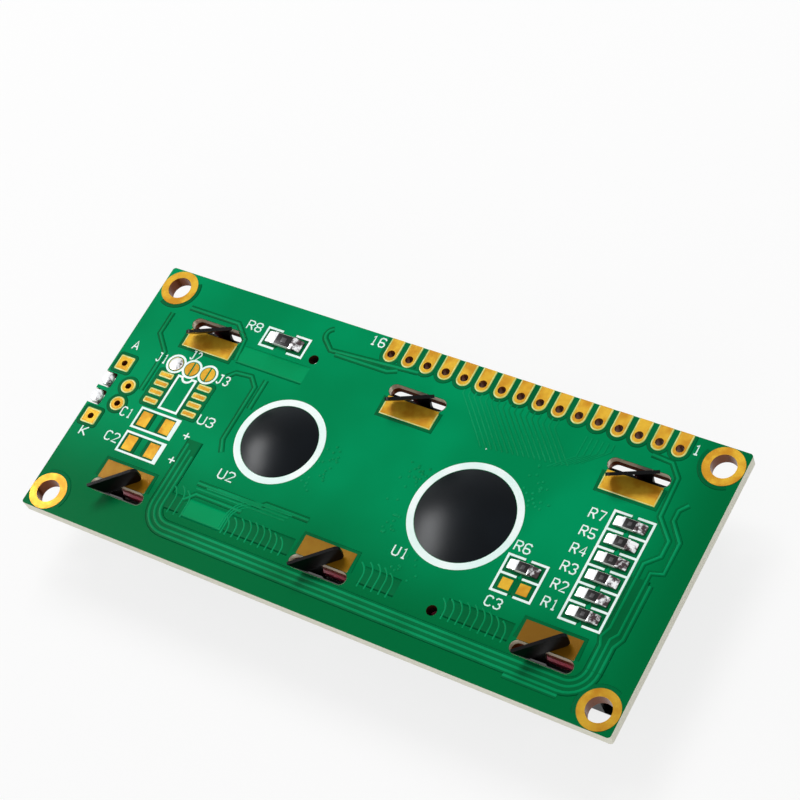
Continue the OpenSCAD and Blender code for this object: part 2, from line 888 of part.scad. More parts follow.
module chip_lands() {
    color([0.85, 0.7, 0.35]) on_back(land_t) for (i = [0:chip_land_rows - 1]) {
        y = (i - (chip_land_rows - 1) / 2) * chip_land_pitch;
        land_pair(chip_3_at + [0, y], chip_land, chip_land_span);
    }
}

module capacitor_lands() {
    color([0.85, 0.65, 0.25]) on_back(land_t) {
        land_pair(capacitor_1_at, capacitor_land, capacitor_land_pitch);
        land_pair(capacitor_2_at, capacitor_land, capacitor_land_pitch);
        land_pair(capacitor_3_at, small_land, small_land_pitch);
    }
}

module at_jumpers() {
    for (i = [-1, 0, 1]) {
        translate(jumper_at + [i * jumper_pitch, 0]) children();
    }
}

module jumper_lands() {
    color([0.85, 0.65, 0.25]) on_back(land_t) at_jumpers() difference() {
        circle(jumper_land_r);
        square([jumper_slit, 2 * jumper_land_r + cut], center = true);
    }
}

// The first jumper is bridged by a blob of solder
module jumper_solder() {
    blob_at = jumper_at - [jumper_pitch, 0];
    color([0.85, 0.85, 0.85]) cap(blob_at, jumper_blob_r, jumper_blob_h, top_z + land_t);
}

// White ink

module column_outline() {
    for (at = column_ats) {
        translate(at) bracket_pair(box_l, column_pitch + line_w, box_gap, line_w);
    }
}

module capacitor_outline(at) {
    translate(at) {
        frame_line(capacitor_box_l, capacitor_box_w, line_w);
        translate([(capacitor_box_l - capacitor_bar_w) / 2, 0])
            square([capacitor_bar_w, capacitor_box_w], center = true);
    }
}

module chip_outline() {
    notch_at = [0, chip_box[1] / 2];
    translate(chip_3_at) {
        difference() {
            frame_line(chip_box[0], chip_box[1], line_w);
            translate(notch_at) circle(chip_notch_r);
        }
        intersection() {
            translate(notch_at) ring(chip_notch_r - line_w, chip_notch_r);
            square(chip_box, center = true);
        }
    }
}

module printed_outlines() {
    color("white") on_back(ink_t) {
        translate(controller_at) ring(controller_cap_r + ring_gap, controller_cap_r + ring_gap + ring_w);
        translate(driver_at) ring(driver_cap_r + ring_gap, driver_cap_r + ring_gap + ring_w);
        column_outline();
        translate(resistor_6_at) bracket_pair(box_l, pair_pitch + line_w, box_gap, line_w);
        translate(capacitor_3_at) bracket_pair(box_l, pair_pitch + line_w, box_gap, line_w);
        translate(resistor_8_at) bracket_pair(large_box_l, large_box_w, large_box_gap, line_w);
        capacitor_outline(capacitor_1_at);
        capacitor_outline(capacitor_2_at);
        chip_outline();
        at_jumpers() ring(jumper_ring_r - line_w, jumper_ring_r);
    }
}

pcb();
bezel();
front_polariser();
front_glass();
cell_seal();
liquid_crystal();
rear_glass();
rear_polariser();
upper_contact_strip();
lower_contact_strip();
diffuser_film();
light_guide();
reflector_film();
backlight_tray();
lamp_board();
lamps();
backlight_pin_a();
backlight_pin_k();
pin_solder();
controller_die();
controller_cap();
driver_die();
driver_cap();
small_resistor(0);  // resistor_1
small_resistor(1);  // resistor_2
small_resistor(2);  // resistor_3
small_resistor(3);  // resistor_4
small_resistor(4);  // resistor_5
resistor(resistor_6_at, small_l, small_w);  // resistor_6
small_resistor(5);  // resistor_7
resistor(resistor_8_at, large_l, large_w);  // resistor_8
resistor_solder();
mounting_rings();
header_lands();
earth_lands();
chip_lands();
capacitor_lands();
jumper_lands();
backlight_lands();
jumper_solder();
printed_outlines();
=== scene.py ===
"""Looks of a character display module, 16 columns by 2 rows, lying on its bezel with the board's back up.

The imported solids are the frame. This file gives each of them its finish, and adds what is too fine for them:
the copper tracks that show through the solder mask, the dark gaps and pale rims round the lands, the filled
vias, the printed letters, the rounded solder and the detailed resistors. Places on the board are in
millimetres from its lower left corner, with +Y towards the header holes and +X towards header hole 1. The
finishes read places in the shared frame, whose origin is under the middle of the board.
"""

import json
import logging
import math
import random
from collections.abc import Callable, Iterable
from dataclasses import dataclass, field
from enum import Enum

import bpy
from mathutils import Matrix, Vector


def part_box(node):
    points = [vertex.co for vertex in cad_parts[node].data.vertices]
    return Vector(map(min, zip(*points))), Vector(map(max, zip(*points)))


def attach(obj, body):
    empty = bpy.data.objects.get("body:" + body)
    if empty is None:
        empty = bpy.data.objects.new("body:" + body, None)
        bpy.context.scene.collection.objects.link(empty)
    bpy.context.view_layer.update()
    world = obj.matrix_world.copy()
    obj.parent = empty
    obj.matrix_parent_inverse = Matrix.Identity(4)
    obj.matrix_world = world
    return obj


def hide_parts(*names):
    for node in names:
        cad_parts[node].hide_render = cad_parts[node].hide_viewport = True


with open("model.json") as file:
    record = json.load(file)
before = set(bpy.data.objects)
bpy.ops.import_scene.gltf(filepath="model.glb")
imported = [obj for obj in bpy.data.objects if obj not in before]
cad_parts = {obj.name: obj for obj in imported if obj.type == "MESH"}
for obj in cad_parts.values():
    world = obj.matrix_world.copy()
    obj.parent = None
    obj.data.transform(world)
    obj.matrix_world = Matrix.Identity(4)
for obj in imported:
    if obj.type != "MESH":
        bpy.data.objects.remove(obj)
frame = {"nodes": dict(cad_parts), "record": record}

log = logging.getLogger("display_module")

MM = 0.001
BODY = "root"

# The board's box, and the lower left corner of its back, in metres
BOARD_LOW, BOARD_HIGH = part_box("pcb")
CORNER = Vector((BOARD_LOW.x, BOARD_LOW.y, BOARD_HIGH.z))

Colour = tuple[float, float, float]
Place = tuple[float, float]
Socket = bpy.types.NodeSocket
Material = bpy.types.Material
Piece = bpy.types.Object


def srgb(red: int, green: int, blue: int) -> Colour:
    """Turn a colour as a screen shows it into the linear colour that a shader takes.

    Args:
        red: Red from 0 to 255.
        green: Green from 0 to 255.
        blue: Blue from 0 to 255.

    Returns:
        The linear red, green and blue from 0 to 1.
    """

    def linear(level: float) -> float:
        """Undo the screen's curve for one channel."""
        return level / 12.92 if level <= 0.04045 else ((level + 0.055) / 1.055) ** 2.4

    return linear(red / 255), linear(green / 255), linear(blue / 255)


class Slot(Enum):
    """The record's material slots."""

    BOARD = "board"
    BLACK_STEEL = "black_steel"
    POLARISER = "polariser"
    GLASS = "glass"
    SEAL = "seal"
    CRYSTAL = "crystal"
    STRIP = "strip"
    FILM = "film"
    REFLECTOR = "reflector"
    GUIDE = "guide"
    WHITE_PLASTIC = "white_plastic"
    LAMP = "lamp"
    TIN = "tin"
    SOLDER = "solder"
    SILICON = "silicon"
    RESIN = "resin"
    RESISTOR = "resistor"
    GOLD = "gold"
    INK = "ink"


# ----------------------------------------------------------------------------------------------------------
# Node trees


@dataclass
class Graph:
    """One node tree, with short ways to add nodes and join them."""

    tree: bpy.types.NodeTree

    def add(self, kind: str, **settings: object) -> bpy.types.Node:
        """Add a node and set its properties.

        Args:
            kind: The node's type name.
            settings: Properties of the node by name.

        Returns:
            The new node.
        """
        node = self.tree.nodes.new(kind)
        for name, value in settings.items():
            setattr(node, name, value)
        return node

    def feed(self, node: bpy.types.Node, **inputs: object) -> bpy.types.Node:
        """Set or link inputs of a node, with underscores for the spaces in their names.

        Args:
            node: The node whose inputs are fed.
            inputs: A value or an output socket for each input.

        Returns:
            The same node.
        """
        for name, value in inputs.items():
            self.put(node.inputs[name.replace("_", " ")], value)
        return node

    def put(self, socket: Socket, value: object) -> None:
        """Feed one input with another node's output, a number or an opaque colour.

        Args:
            socket: The input.
            value: An output socket, a number or a linear colour.
        """
        if isinstance(value, Socket):
            self.tree.links.new(value, socket)
        elif socket.type == "RGBA":
            socket.default_value = (*value, 1.0)
        else:
            socket.default_value = value

    def math(self, operation: str, *values: object, clamp: bool = False) -> Socket:
        """Add a Math node.

        Args:
            operation: The node's operation.
            values: Its numbers or sockets, in order.
            clamp: Whether the result is kept from 0 to 1.

        Returns:
            The output socket.
        """
        node = self.add("ShaderNodeMath", operation=operation, use_clamp=clamp)
        for socket, value in zip(node.inputs, values):
            self.put(socket, value)
        return node.outputs[0]

    def blend(self, factor: object, low: object, high: object) -> Socket:
        """Mix two colours.

        Args:
            factor: Share of the second colour, as a value or a socket.
            low: The colour or socket at 0.
            high: The colour or socket at 1.

        Returns:
            The mixed colour's socket.
        """
        node = self.add("ShaderNodeMix", data_type="RGBA")
        self.put(node.inputs[0], factor)
        self.put(node.inputs[6], low)
        self.put(node.inputs[7], high)
        return node.outputs[2]

    def ramp(self, value: Socket, low: float, high: float) -> Socket:
        """Stretch a value so that low becomes 0 and high becomes 1, with soft ends.

        Args:
            value: The socket to stretch.
            low: The value that becomes 0.
            high: The value that becomes 1.

        Returns:
            The stretched value's socket.
        """
        node = self.add("ShaderNodeMapRange", interpolation_type="SMOOTHSTEP")
        self.feed(node, Value=value, From_Min=low, From_Max=high)
        return node.outputs[0]

    def seen(self) -> Socket:
        """Tell whether a ray only sees the surface, also in a gloss or through glass, and isn't lit by it."""
        path = self.add("ShaderNodeLightPath").outputs
        direct = self.math("MAXIMUM", path["Is Camera Ray"], path["Is Transmission Ray"])
        return self.math("MAXIMUM", direct, path["Is Glossy Ray"])


class Effects:
    """Shader node groups that several finishes share, each built once."""

    def __init__(self) -> None:
        """Start with no group built."""
        self.groups: dict[str, bpy.types.NodeTree] = {}

    def group(self, name: str) -> bpy.types.NodeTree:
        """Give a group by name, and build it the first time.

        Args:
            name: One of grain, drift, weave, specks or sides.

        Returns:
            The node group.
        """
        if name not in self.groups:
            self.groups[name] = getattr(self, f"build_{name}")()
        return self.groups[name]

    @staticmethod
    def start(
        name: str, inputs: dict[str, str], output: str, kind: str = "Float"
    ) -> tuple[Graph, object, Socket]:
        """Start a node group with its sockets.

        Args:
            name: The group's name.
            inputs: The kind of each input by name: Vector, Float or Color.
            output: The name of its one output.
            kind: The kind of its output.

        Returns:
            The graph, its input node's sockets by name, and the socket that the result goes to.
        """
        tree = bpy.data.node_groups.new(name, "ShaderNodeTree")
        for label, given in inputs.items():
            tree.interface.new_socket(label, in_out="INPUT", socket_type=f"NodeSocket{given}")
        tree.interface.new_socket(output, in_out="OUTPUT", socket_type=f"NodeSocket{kind}")
        graph = Graph(tree)
        return graph, graph.add("NodeGroupInput").outputs, graph.add("NodeGroupOutput").inputs[output]

    @staticmethod
    def noise(graph: Graph, source: object, detail: float, roughness: float) -> Socket:
        """Add noise of the size that a group is given.

        Args:
            graph: The group's graph.
            source: The group's inputs by name, with Vector and Size.
            detail: Number of finer layers.
            roughness: Share of each finer layer.

        Returns:
            The noise's socket.
        """
        node = graph.add("ShaderNodeTexNoise")
        scale = graph.math("DIVIDE", 1.0, source["Size"])
        graph.feed(node, Vector=source["Vector"], Scale=scale, Detail=detail, Roughness=roughness)
        return node.outputs[0]

    def build_grain(self) -> bpy.types.NodeTree:
        """Build the fine, even unevenness of paint, resin and ink, as a height round 0.5."""
        graph, source, result = self.start("grain", {"Vector": "Vector", "Size": "Float"}, "Height")
        graph.put(result, self.noise(graph, source, 3.0, 0.6))
        return graph.tree

    def build_drift(self) -> bpy.types.NodeTree:
        """Build the slow change between two colours over a surface."""
        inputs = {"Vector": "Vector", "Size": "Float", "Low": "Color", "High": "Color"}
        graph, source, result = self.start("drift", inputs, "Color", "Color")
        mask = graph.ramp(self.noise(graph, source, 2.0, 0.5), 0.3, 0.7)
        graph.put(result, graph.blend(mask, source["Low"], source["High"]))
        return graph.tree

    def build_weave(self) -> bpy.types.NodeTree:
        """Build the cross weave of glass cloth, as a height from 0 to 1."""
        graph, source, result = self.start("weave", {"Vector": "Vector", "Pitch": "Float"}, "Height")
        parts = graph.feed(graph.add("ShaderNodeSeparateXYZ"), Vector=source["Vector"]).outputs
        turns = graph.math("DIVIDE", 2 * math.pi, source["Pitch"])
        along = graph.math("SINE", graph.math("MULTIPLY", parts["X"], turns))
        across = graph.math("SINE", graph.math("MULTIPLY", parts["Y"], turns))
        graph.put(result, graph.math("MULTIPLY_ADD", graph.math("MULTIPLY", along, across), 0.5, 0.5))
        return graph.tree

    def build_specks(self) -> bpy.types.NodeTree:
        """Build scattered spots with crisp edges, such as the painted shade on solder, as a mask."""
        inputs = {"Vector": "Vector", "Size": "Float", "Amount": "Float"}
        graph, source, result = self.start("specks", inputs, "Mask")
        edge = graph.math("SUBTRACT", 0.8, graph.math("MULTIPLY", source["Amount"], 0.4))
        over = graph.math("SUBTRACT", self.noise(graph, source, 4.0, 0.7), edge)
        graph.put(result, graph.math("MULTIPLY", over, 8.0, clamp=True))
        return graph.tree

    def build_sides(self) -> bpy.types.NodeTree:
        """Build the mask of the faces that stand upright, from the surface's normal."""
        graph, source, result = self.start("sides", {"Normal": "Vector"}, "Mask")
        parts = graph.feed(graph.add("ShaderNodeSeparateXYZ"), Vector=source["Normal"]).outputs
        upright = graph.math("SUBTRACT", 1.0, graph.math("ABSOLUTE", parts["Z"]))
        graph.put(result, graph.ramp(upright, 0.35, 0.75))
        return graph.tree


EFFECTS = Effects()


class Painter:
    """One material in the making: its Principled shader, its coordinates and the effects that feed it."""

    def __init__(self, name: str) -> None:
        """Start a material.

        Args:
            name: The material's name.
        """
        self.material = bpy.data.materials.new(name)
        self.material.use_nodes = True
        self.graph = Graph(self.material.node_tree)
        self.shader = self.material.node_tree.nodes["Principled BSDF"]
        self.place = self.graph.add("ShaderNodeTexCoord").outputs["Object"]

    def effect(self, name: str, **inputs: object) -> Socket:
        """Place a shared effect in this material.

        Args:
            name: The effect's name.
            inputs: Its inputs other than Vector.

        Returns:
            The effect's output socket.
        """
        node = self.graph.add("ShaderNodeGroup", node_tree=EFFECTS.group(name))
        if "Vector" in node.inputs:
            inputs["Vector"] = self.place
        self.graph.feed(node, **inputs)
        return node.outputs[0]

    def axis(self, name: str) -> Socket:
        """Give one coordinate of the surface point.

        Args:
            name: X, Y or Z.

        Returns:
            The coordinate's socket, in metres.
        """
        return self.graph.feed(self.graph.add("ShaderNodeSeparateXYZ"), Vector=self.place).outputs[name]

    def normal(self) -> Socket:
        """Give the surface's normal."""
        return self.graph.add("ShaderNodeNewGeometry").outputs["Normal"]

    def sides(self) -> Socket:
        """Give the mask of the upright faces."""
        return self.effect("sides", Normal=self.normal())

    def relief(self, height: Socket, depth: float) -> None:
        """Shape the surface with a bump.

        Args:
            height: Height from 0 to 1.
            depth: Depth in metres at height 1.
        """
        bump = self.graph.add("ShaderNodeBump")
        self.graph.feed(bump, Height=height, Distance=depth, Strength=1.0)
        self.graph.feed(self.shader, Normal=bump.outputs["Normal"])

    def colour(self, value: object) -> None:
        """Set or link the base colour.

        Args:
            value: A linear colour or a socket.
        """
        self.graph.feed(self.shader, Base_Color=value)

    def set(self, **inputs: object) -> None:
        """Set or link other inputs of the shader, with underscores for spaces.

        Args:
            inputs: A value or socket for each input.
        """
        self.graph.feed(self.shader, **inputs)


# ----------------------------------------------------------------------------------------------------------
# Finishes


@dataclass(frozen=True)
class MaskFinish:
    """Green solder mask over copper, with painted shade that darkens it towards the lower edge and the right
    end, the bare cut laminate on the board's edges, and painted shade on the hole walls.
    """

    name: str = "green_mask"
    # deep: the colour of the painted shade towards the lower edge and the right end
    deep: Colour = srgb(0, 108, 58)
    middle: Colour = srgb(0, 134, 80)
    light: Colour = srgb(0, 148, 92)
    cut_edge: Colour = srgb(240, 238, 222)
    # hole_wall: painted shade, dark brown on the laminate inside the holes and slots
    hole_wall: Colour = srgb(62, 34, 14)
    half_length: float = BOARD_HIGH.x
    half_width: float = BOARD_HIGH.y
    edge_band: float = 0.3 * MM
    drift: float = 13 * MM
    shade_towards_lower_edge: tuple[float, float] = (-2 * MM, -15 * MM)
    shade_towards_right_end: tuple[float, float] = (28 * MM, 40 * MM)
    roughness: float = 0.32
    cut_roughness: float = 0.72
    gloss: float = 0.015
    cloth_pitch: float = 0.55 * MM
    cloth_depth: float = 0.0012 * MM

    def build(self) -> Material:
        """Build the material."""
        paint = Painter(self.name)
        graph = paint.graph
        mask = paint.effect("drift", Size=self.drift, Low=self.middle, High=self.light)
        # Painted shade: the mask darkens towards the lower edge and towards the right end.
        near = graph.ramp(paint.axis("Y"), *self.shade_towards_lower_edge)
        right = graph.ramp(paint.axis("X"), *self.shade_towards_right_end)
        mask = graph.blend(graph.math("MAXIMUM", near, right), mask, self.deep)
        along = graph.math("ABSOLUTE", paint.axis("X"))
        across = graph.math("ABSOLUTE", paint.axis("Y"))
        at_end = graph.math("GREATER_THAN", along, self.half_length - self.edge_band)
        at_edge = graph.math("GREATER_THAN", across, self.half_width - self.edge_band)
        outside = graph.math("MAXIMUM", at_end, at_edge)
        # Upright faces: the pale cut laminate on the board's edges, and painted shade on the walls of the
        # holes and slots.
        cut_edge_and_wall_shade = graph.blend(outside, self.hole_wall, self.cut_edge)
        sides = paint.sides()
        paint.colour(graph.blend(sides, mask, cut_edge_and_wall_shade))
        rough = graph.math("MULTIPLY_ADD", sides, self.cut_roughness - self.roughness, self.roughness)
        paint.set(Roughness=rough, Specular_IOR_Level=self.gloss)
        paint.relief(paint.effect("weave", Pitch=self.cloth_pitch), self.cloth_depth)
        return paint.material


@dataclass(frozen=True)
class GoldFinish:
    """A gold flash over copper: dark brown in the holes, partly its rougher plating and partly painted shade;
    a painted highlight in the top of a slot's wall; and painted shade on the lower lands, stronger towards the
    right end.
    """

    name: str = "gold_flash"
    pale: Colour = srgb(228, 180, 52)
    deep: Colour = srgb(202, 140, 30)
    # Painted shade for the lower lands.
    land_shade: Colour = srgb(126, 86, 12)
    # Dark brown of the hole and slot walls: partly their rougher plating, partly painted shade.
    wall: Colour = srgb(122, 62, 20)
    # Painted highlight: pale cream along the top of the slot walls.
    slot_glint: Colour = srgb(250, 240, 216)
    rim: Colour = srgb(4, 60, 34)
    slot_glint_depth: float = 0.75 * MM
    top: float = BOARD_HIGH.z
    slots_y: float = -0.4 * MM
    slot_middle: float = 12.0 * MM
    slot_reach: float = 1.2 * MM
    rim_reach: float = 0.87 * MM
    slots_end: float = 34 * MM
    land_shade_below: float = -8.15 * MM
    land_shade_share: float = 0.85
    land_shade_along: float = 0.3
    land_shade_end: float = 40 * MM
    drift: float = 1.6 * MM
    grain: float = 0.18 * MM
    depth: float = 0.004 * MM
    metallic: float = 0.25
    roughness: float = 0.24
    specular: float = 0.15

    def build(self) -> Material:
        """Build the material."""
        paint = Painter(self.name)
        graph = paint.graph
        face = paint.effect("drift", Size=self.drift, Low=self.deep, High=self.pale)
        between = graph.math("LESS_THAN", graph.math("ABSOLUTE", paint.axis("X")), self.slots_end)
        # Painted shade: the lower lands darken, most between the slots' ends, and more towards the right end.
        lower = graph.math("LESS_THAN", paint.axis("Y"), self.land_shade_below)
        along = graph.math("MULTIPLY", graph.ramp(paint.axis("X"), 0.0, self.land_shade_end), self.land_shade_along)
        land_shade_share = graph.math("ADD", graph.math("MULTIPLY", between, self.land_shade_share), along)
        face = graph.blend(graph.math("MULTIPLY", lower, land_shade_share), face, self.land_shade)
        off_slot = graph.math("ABSOLUTE", graph.math("SUBTRACT", paint.axis("Y"), self.slots_y))
        off_slot = graph.math("ABSOLUTE", graph.math("SUBTRACT", off_slot, self.slot_middle))
        on_rim = graph.math("MULTIPLY", graph.math("LESS_THAN", off_slot, self.rim_reach), between)
        face = graph.blend(on_rim, face, self.rim)
        # Painted highlight: the top of each slot's wall is painted pale cream.
        in_slot = graph.math("LESS_THAN", off_slot, self.slot_reach)
        high = graph.math("GREATER_THAN", paint.axis("Z"), self.top - self.slot_glint_depth)
        wall = graph.blend(graph.math("MULTIPLY", in_slot, high), self.wall, self.slot_glint)
        paint.colour(graph.blend(paint.sides(), face, wall))
        paint.set(Metallic=self.metallic, Roughness=self.roughness, Specular_IOR_Level=self.specular)
        paint.relief(paint.effect("grain", Size=self.grain), self.depth)
        return paint.material


@dataclass(frozen=True)
class SolderFinish:
    """Bright solder with painted shade in dark red spots: the plain copy has them on its right-hand slopes,
    the shaded copy all over.
    """

    name: str = "solder"
    bright: Colour = srgb(246, 247, 249)
    # Painted shade: the dark red of the spots.
    shade_colour: Colour = srgb(44, 16, 22)
    share: float = 0.97
    spot: float = 0.4 * MM
    amount: float = 0.85
    shade_all_over: bool = False
    slope: tuple[float, float] = (0.1, 0.6)
    grain: float = 0.4 * MM
    depth: float = 0.03 * MM

    def build(self) -> Material:
        """Build the material."""
        paint = Painter(self.name)
        graph = paint.graph
        spots = paint.effect("specks", Size=self.spot, Amount=self.amount)
        shade_mask = graph.math("MULTIPLY", spots, self.share)
        # Painted shade: unless the copy is shaded all over, the spots keep to the slopes that face +X.
        if not self.shade_all_over:
            parts = graph.feed(graph.add("ShaderNodeSeparateXYZ"), Vector=paint.normal()).outputs
            shade_mask = graph.math("MULTIPLY", graph.ramp(parts["X"], *self.slope), shade_mask)
        paint.colour(graph.blend(shade_mask, self.bright, self.shade_colour))
        paint.set(Metallic=0.6, Roughness=0.28)
        paint.relief(paint.effect("grain", Size=self.grain), self.depth)
        return paint.material


@dataclass(frozen=True)
class PlainFinish:
    """A finish with a slow drift between two near colours, a fine grain and one level of gloss."""

    name: str
    low: Colour
    high: Colour
    roughness: float = 0.5
    metallic: float = 0.0
    specular: float = 0.5
    drift: float = 4 * MM
    grain: float = 0.15 * MM
    depth: float = 0.003 * MM

    def build(self) -> Material:
        """Build the material."""
        paint = Painter(self.name)
        paint.colour(paint.effect("drift", Size=self.drift, Low=self.low, High=self.high))
        paint.set(Roughness=self.roughness, Metallic=self.metallic, Specular_IOR_Level=self.specular)
        paint.relief(paint.effect("grain", Size=self.grain), self.depth)
        return paint.material


@dataclass(frozen=True)
class ClearFinish:
    """A clear or tinted see-through piece."""

    name: str
    tint: Colour
    roughness: float = 0.05
    index: float = 1.5

    def build(self) -> Material:
        """Build the material."""
        paint = Painter(self.name)
        paint.colour(self.tint)
        paint.set(Roughness=self.roughness, Transmission_Weight=1.0, IOR=self.index)
        return paint.material


@dataclass(frozen=True)
class DisplayFinish:
    """The unlit display as seen through its front film: deep blue, with its character cells just visible."""

    name: str = "display_face"
    ground: Colour = srgb(16, 26, 92)
    dot: Colour = srgb(24, 38, 116)
    middle_y: float = -0.4 * MM
    column_pitch: float = 3.55 * MM
    row_pitch: float = 5.95 * MM
    dot_pitch_x: float = 0.6 * MM
    dot_pitch_y: float = 0.7 * MM
    dot_gap: float = 0.06 * MM
    columns: int = 16
    rows: int = 2
    dots_across: int = 5
    dots_up: int = 8

    def cell(self, graph: Graph, place: Socket, pitch: float, count: int) -> tuple[Socket, Socket]:
        """Find the place inside the repeated cell along one axis, and whether there is a cell at all.

        Args:
            graph: The material's graph.
            place: Distance from the middle of the display.
            pitch: Pitch of the cells.
            count: Number of cells.

        Returns:
            The distance from the cell's middle, and the mask of the whole row of cells.
        """
        shifted = graph.math("ADD", place, pitch * count / 2)
        inside = graph.math("SUBTRACT", graph.math("FLOORED_MODULO", shifted, pitch), pitch / 2)
        present = graph.math("LESS_THAN", graph.math("ABSOLUTE", place), pitch * count / 2)
        return inside, present

    def dots(self, graph: Graph, inside: Socket, pitch: float, count: int) -> Socket:
        """Make the mask of the dots along one axis of a cell.

        Args:
            graph: The material's graph.
            inside: Distance from the cell's middle.
            pitch: Pitch of the dots.
            count: Number of dots.

        Returns:
            The mask's socket.
        """
        shifted = graph.math("ADD", inside, pitch * count / 2)
        place = graph.math("SUBTRACT", graph.math("FLOORED_MODULO", shifted, pitch), pitch / 2)
        on_dot = graph.math("LESS_THAN", graph.math("ABSOLUTE", place), (pitch - self.dot_gap) / 2)
        within = graph.math("LESS_THAN", graph.math("ABSOLUTE", inside), pitch * count / 2)
        return graph.math("MULTIPLY", on_dot, within)

    def build(self) -> Material:
        """Build the material."""
        paint = Painter(self.name)
        graph = paint.graph
        along, has_column = self.cell(graph, paint.axis("X"), self.column_pitch, self.columns)
        across = graph.math("SUBTRACT", paint.axis("Y"), self.middle_y)
        up, has_row = self.cell(graph, across, self.row_pitch, self.rows)
        in_column = self.dots(graph, along, self.dot_pitch_x, self.dots_across)
        in_row = self.dots(graph, up, self.dot_pitch_y, self.dots_up)
        dots_x = graph.math("MULTIPLY", in_column, has_column)
        dots_y = graph.math("MULTIPLY", in_row, has_row)
        paint.colour(graph.blend(graph.math("MULTIPLY", dots_x, dots_y), self.ground, self.dot))
        paint.set(Roughness=0.22, Specular_IOR_Level=0.5, Coat_Weight=0.6, Coat_Roughness=0.06)
        return paint.material


@dataclass(frozen=True)
class StripFinish:
    """Pink silicone with the fine dark lines of its conducting layers."""

    name: str = "pink_silicone"
    pink: Colour = srgb(214, 78, 108)
    layer: Colour = srgb(120, 34, 56)
    pitch: float = 0.18 * MM
    line_share: float = 0.3
    strength: float = 0.5

    def build(self) -> Material:
        """Build the material."""
        paint = Painter(self.name)
        graph = paint.graph
        step = graph.math("FLOORED_MODULO", paint.axis("X"), self.pitch)
        line = graph.math("LESS_THAN", step, self.pitch * self.line_share)
        paint.colour(graph.blend(graph.math("MULTIPLY", line, self.strength), self.pink, self.layer))
        paint.set(Roughness=0.55)
        paint.relief(paint.effect("grain", Size=0.2 * MM), 0.004 * MM)
        return paint.material


@dataclass(frozen=True)
class FloorFinish:
    """A pale floor that shows white and keeps the module's shadow."""

    name: str = "pale_floor"
    grey: Colour = (0.9, 0.9, 0.9)
    glow: float = 0.8

    def build(self) -> Material:
        """Build the material."""
        paint = Painter(self.name)
        graph = paint.graph
        paint.colour(self.grey)
        paint.set(Roughness=0.9, Specular_IOR_Level=0.0)
        white = graph.add("ShaderNodeEmission")
        mix = graph.add("ShaderNodeMixShader")
        graph.put(mix.inputs[0], graph.math("MULTIPLY", graph.seen(), self.glow))
        graph.put(mix.inputs[1], paint.shader.outputs[0])
        graph.put(mix.inputs[2], white.outputs[0])
        graph.put(graph.tree.nodes["Material Output"].inputs["Surface"], mix.outputs[0])
        return paint.material


# ----------------------------------------------------------------------------------------------------------
# Modelling


class Bench:
    """The moves that every new piece starts or ends with."""

    @staticmethod
    def clear() -> None:
        """Leave edit mode and deselect everything."""
        active = bpy.context.view_layer.objects.active
        if active is not None and active.mode != "OBJECT":
            bpy.ops.object.mode_set(mode="OBJECT")
        bpy.ops.object.select_all(action="DESELECT")

    @staticmethod
    def focus(piece: Piece) -> None:
        """Select one piece and make it active.

        Args:
            piece: The piece to work on.
        """
        Bench.clear()
        piece.select_set(True)
        bpy.context.view_layer.objects.active = piece

    @staticmethod
    def edit(piece: Piece) -> None:
        """Open a piece in edit mode with all of it selected.

        Args:
            piece: The piece to work on.
        """
        Bench.focus(piece)
        bpy.ops.object.mode_set(mode="EDIT")
        bpy.ops.mesh.select_all(action="SELECT")

    @staticmethod
    def join(pieces: list[Piece]) -> Piece:
        """Join pieces into the first of them.

        Args:
            pieces: At least one piece.

        Returns:
            The joined piece.
        """
        Bench.focus(pieces[0])
        for piece in pieces:
            piece.select_set(True)
        bpy.ops.object.join()
        return pieces[0]

    @staticmethod
    def move(piece: Piece, shift: Iterable[float]) -> None:
        """Move a piece's mesh.

        Args:
            piece: The piece.
            shift: How far it moves along each axis, in millimetres.
        """
        piece.data.transform(Matrix.Translation(Vector(shift) * MM))

    @staticmethod
    def copy(piece: Piece, shift: Vector) -> Piece:
        """Copy a piece with its own mesh and move the copy in its mesh.

        Args:
            piece: The piece to copy.
            shift: How far the copy moves, in metres.

        Returns:
            The copy.
        """
        twin = piece.copy()
        twin.data = piece.data.copy()
        bpy.context.scene.collection.objects.link(twin)
        twin.data.transform(Matrix.Translation(shift))
        return twin

    @staticmethod
    def settle(piece: Piece, name: str, slot: Slot, finishes: Iterable[Material]) -> None:
        """Name a finished piece, put its place into its mesh, dress it and let it ride on the module.

        Args:
            piece: The finished piece.
            name: Its name.
            slot: The record's slot for the piece; not used.
            finishes: Its materials, none to keep those it has.
        """
        Bench.focus(piece)
        bpy.ops.object.transform_apply(location=True, rotation=True, scale=True)
        piece.name = name
        piece.data.name = name
        for finish in finishes:
            piece.data.materials.append(finish)
        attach(piece, BODY)
        log.info("piece %s: %d faces", name, len(piece.data.polygons))


@dataclass(frozen=True)
class Rib:
    """The section of a drawn line, in millimetres."""

    width: float
    height: float


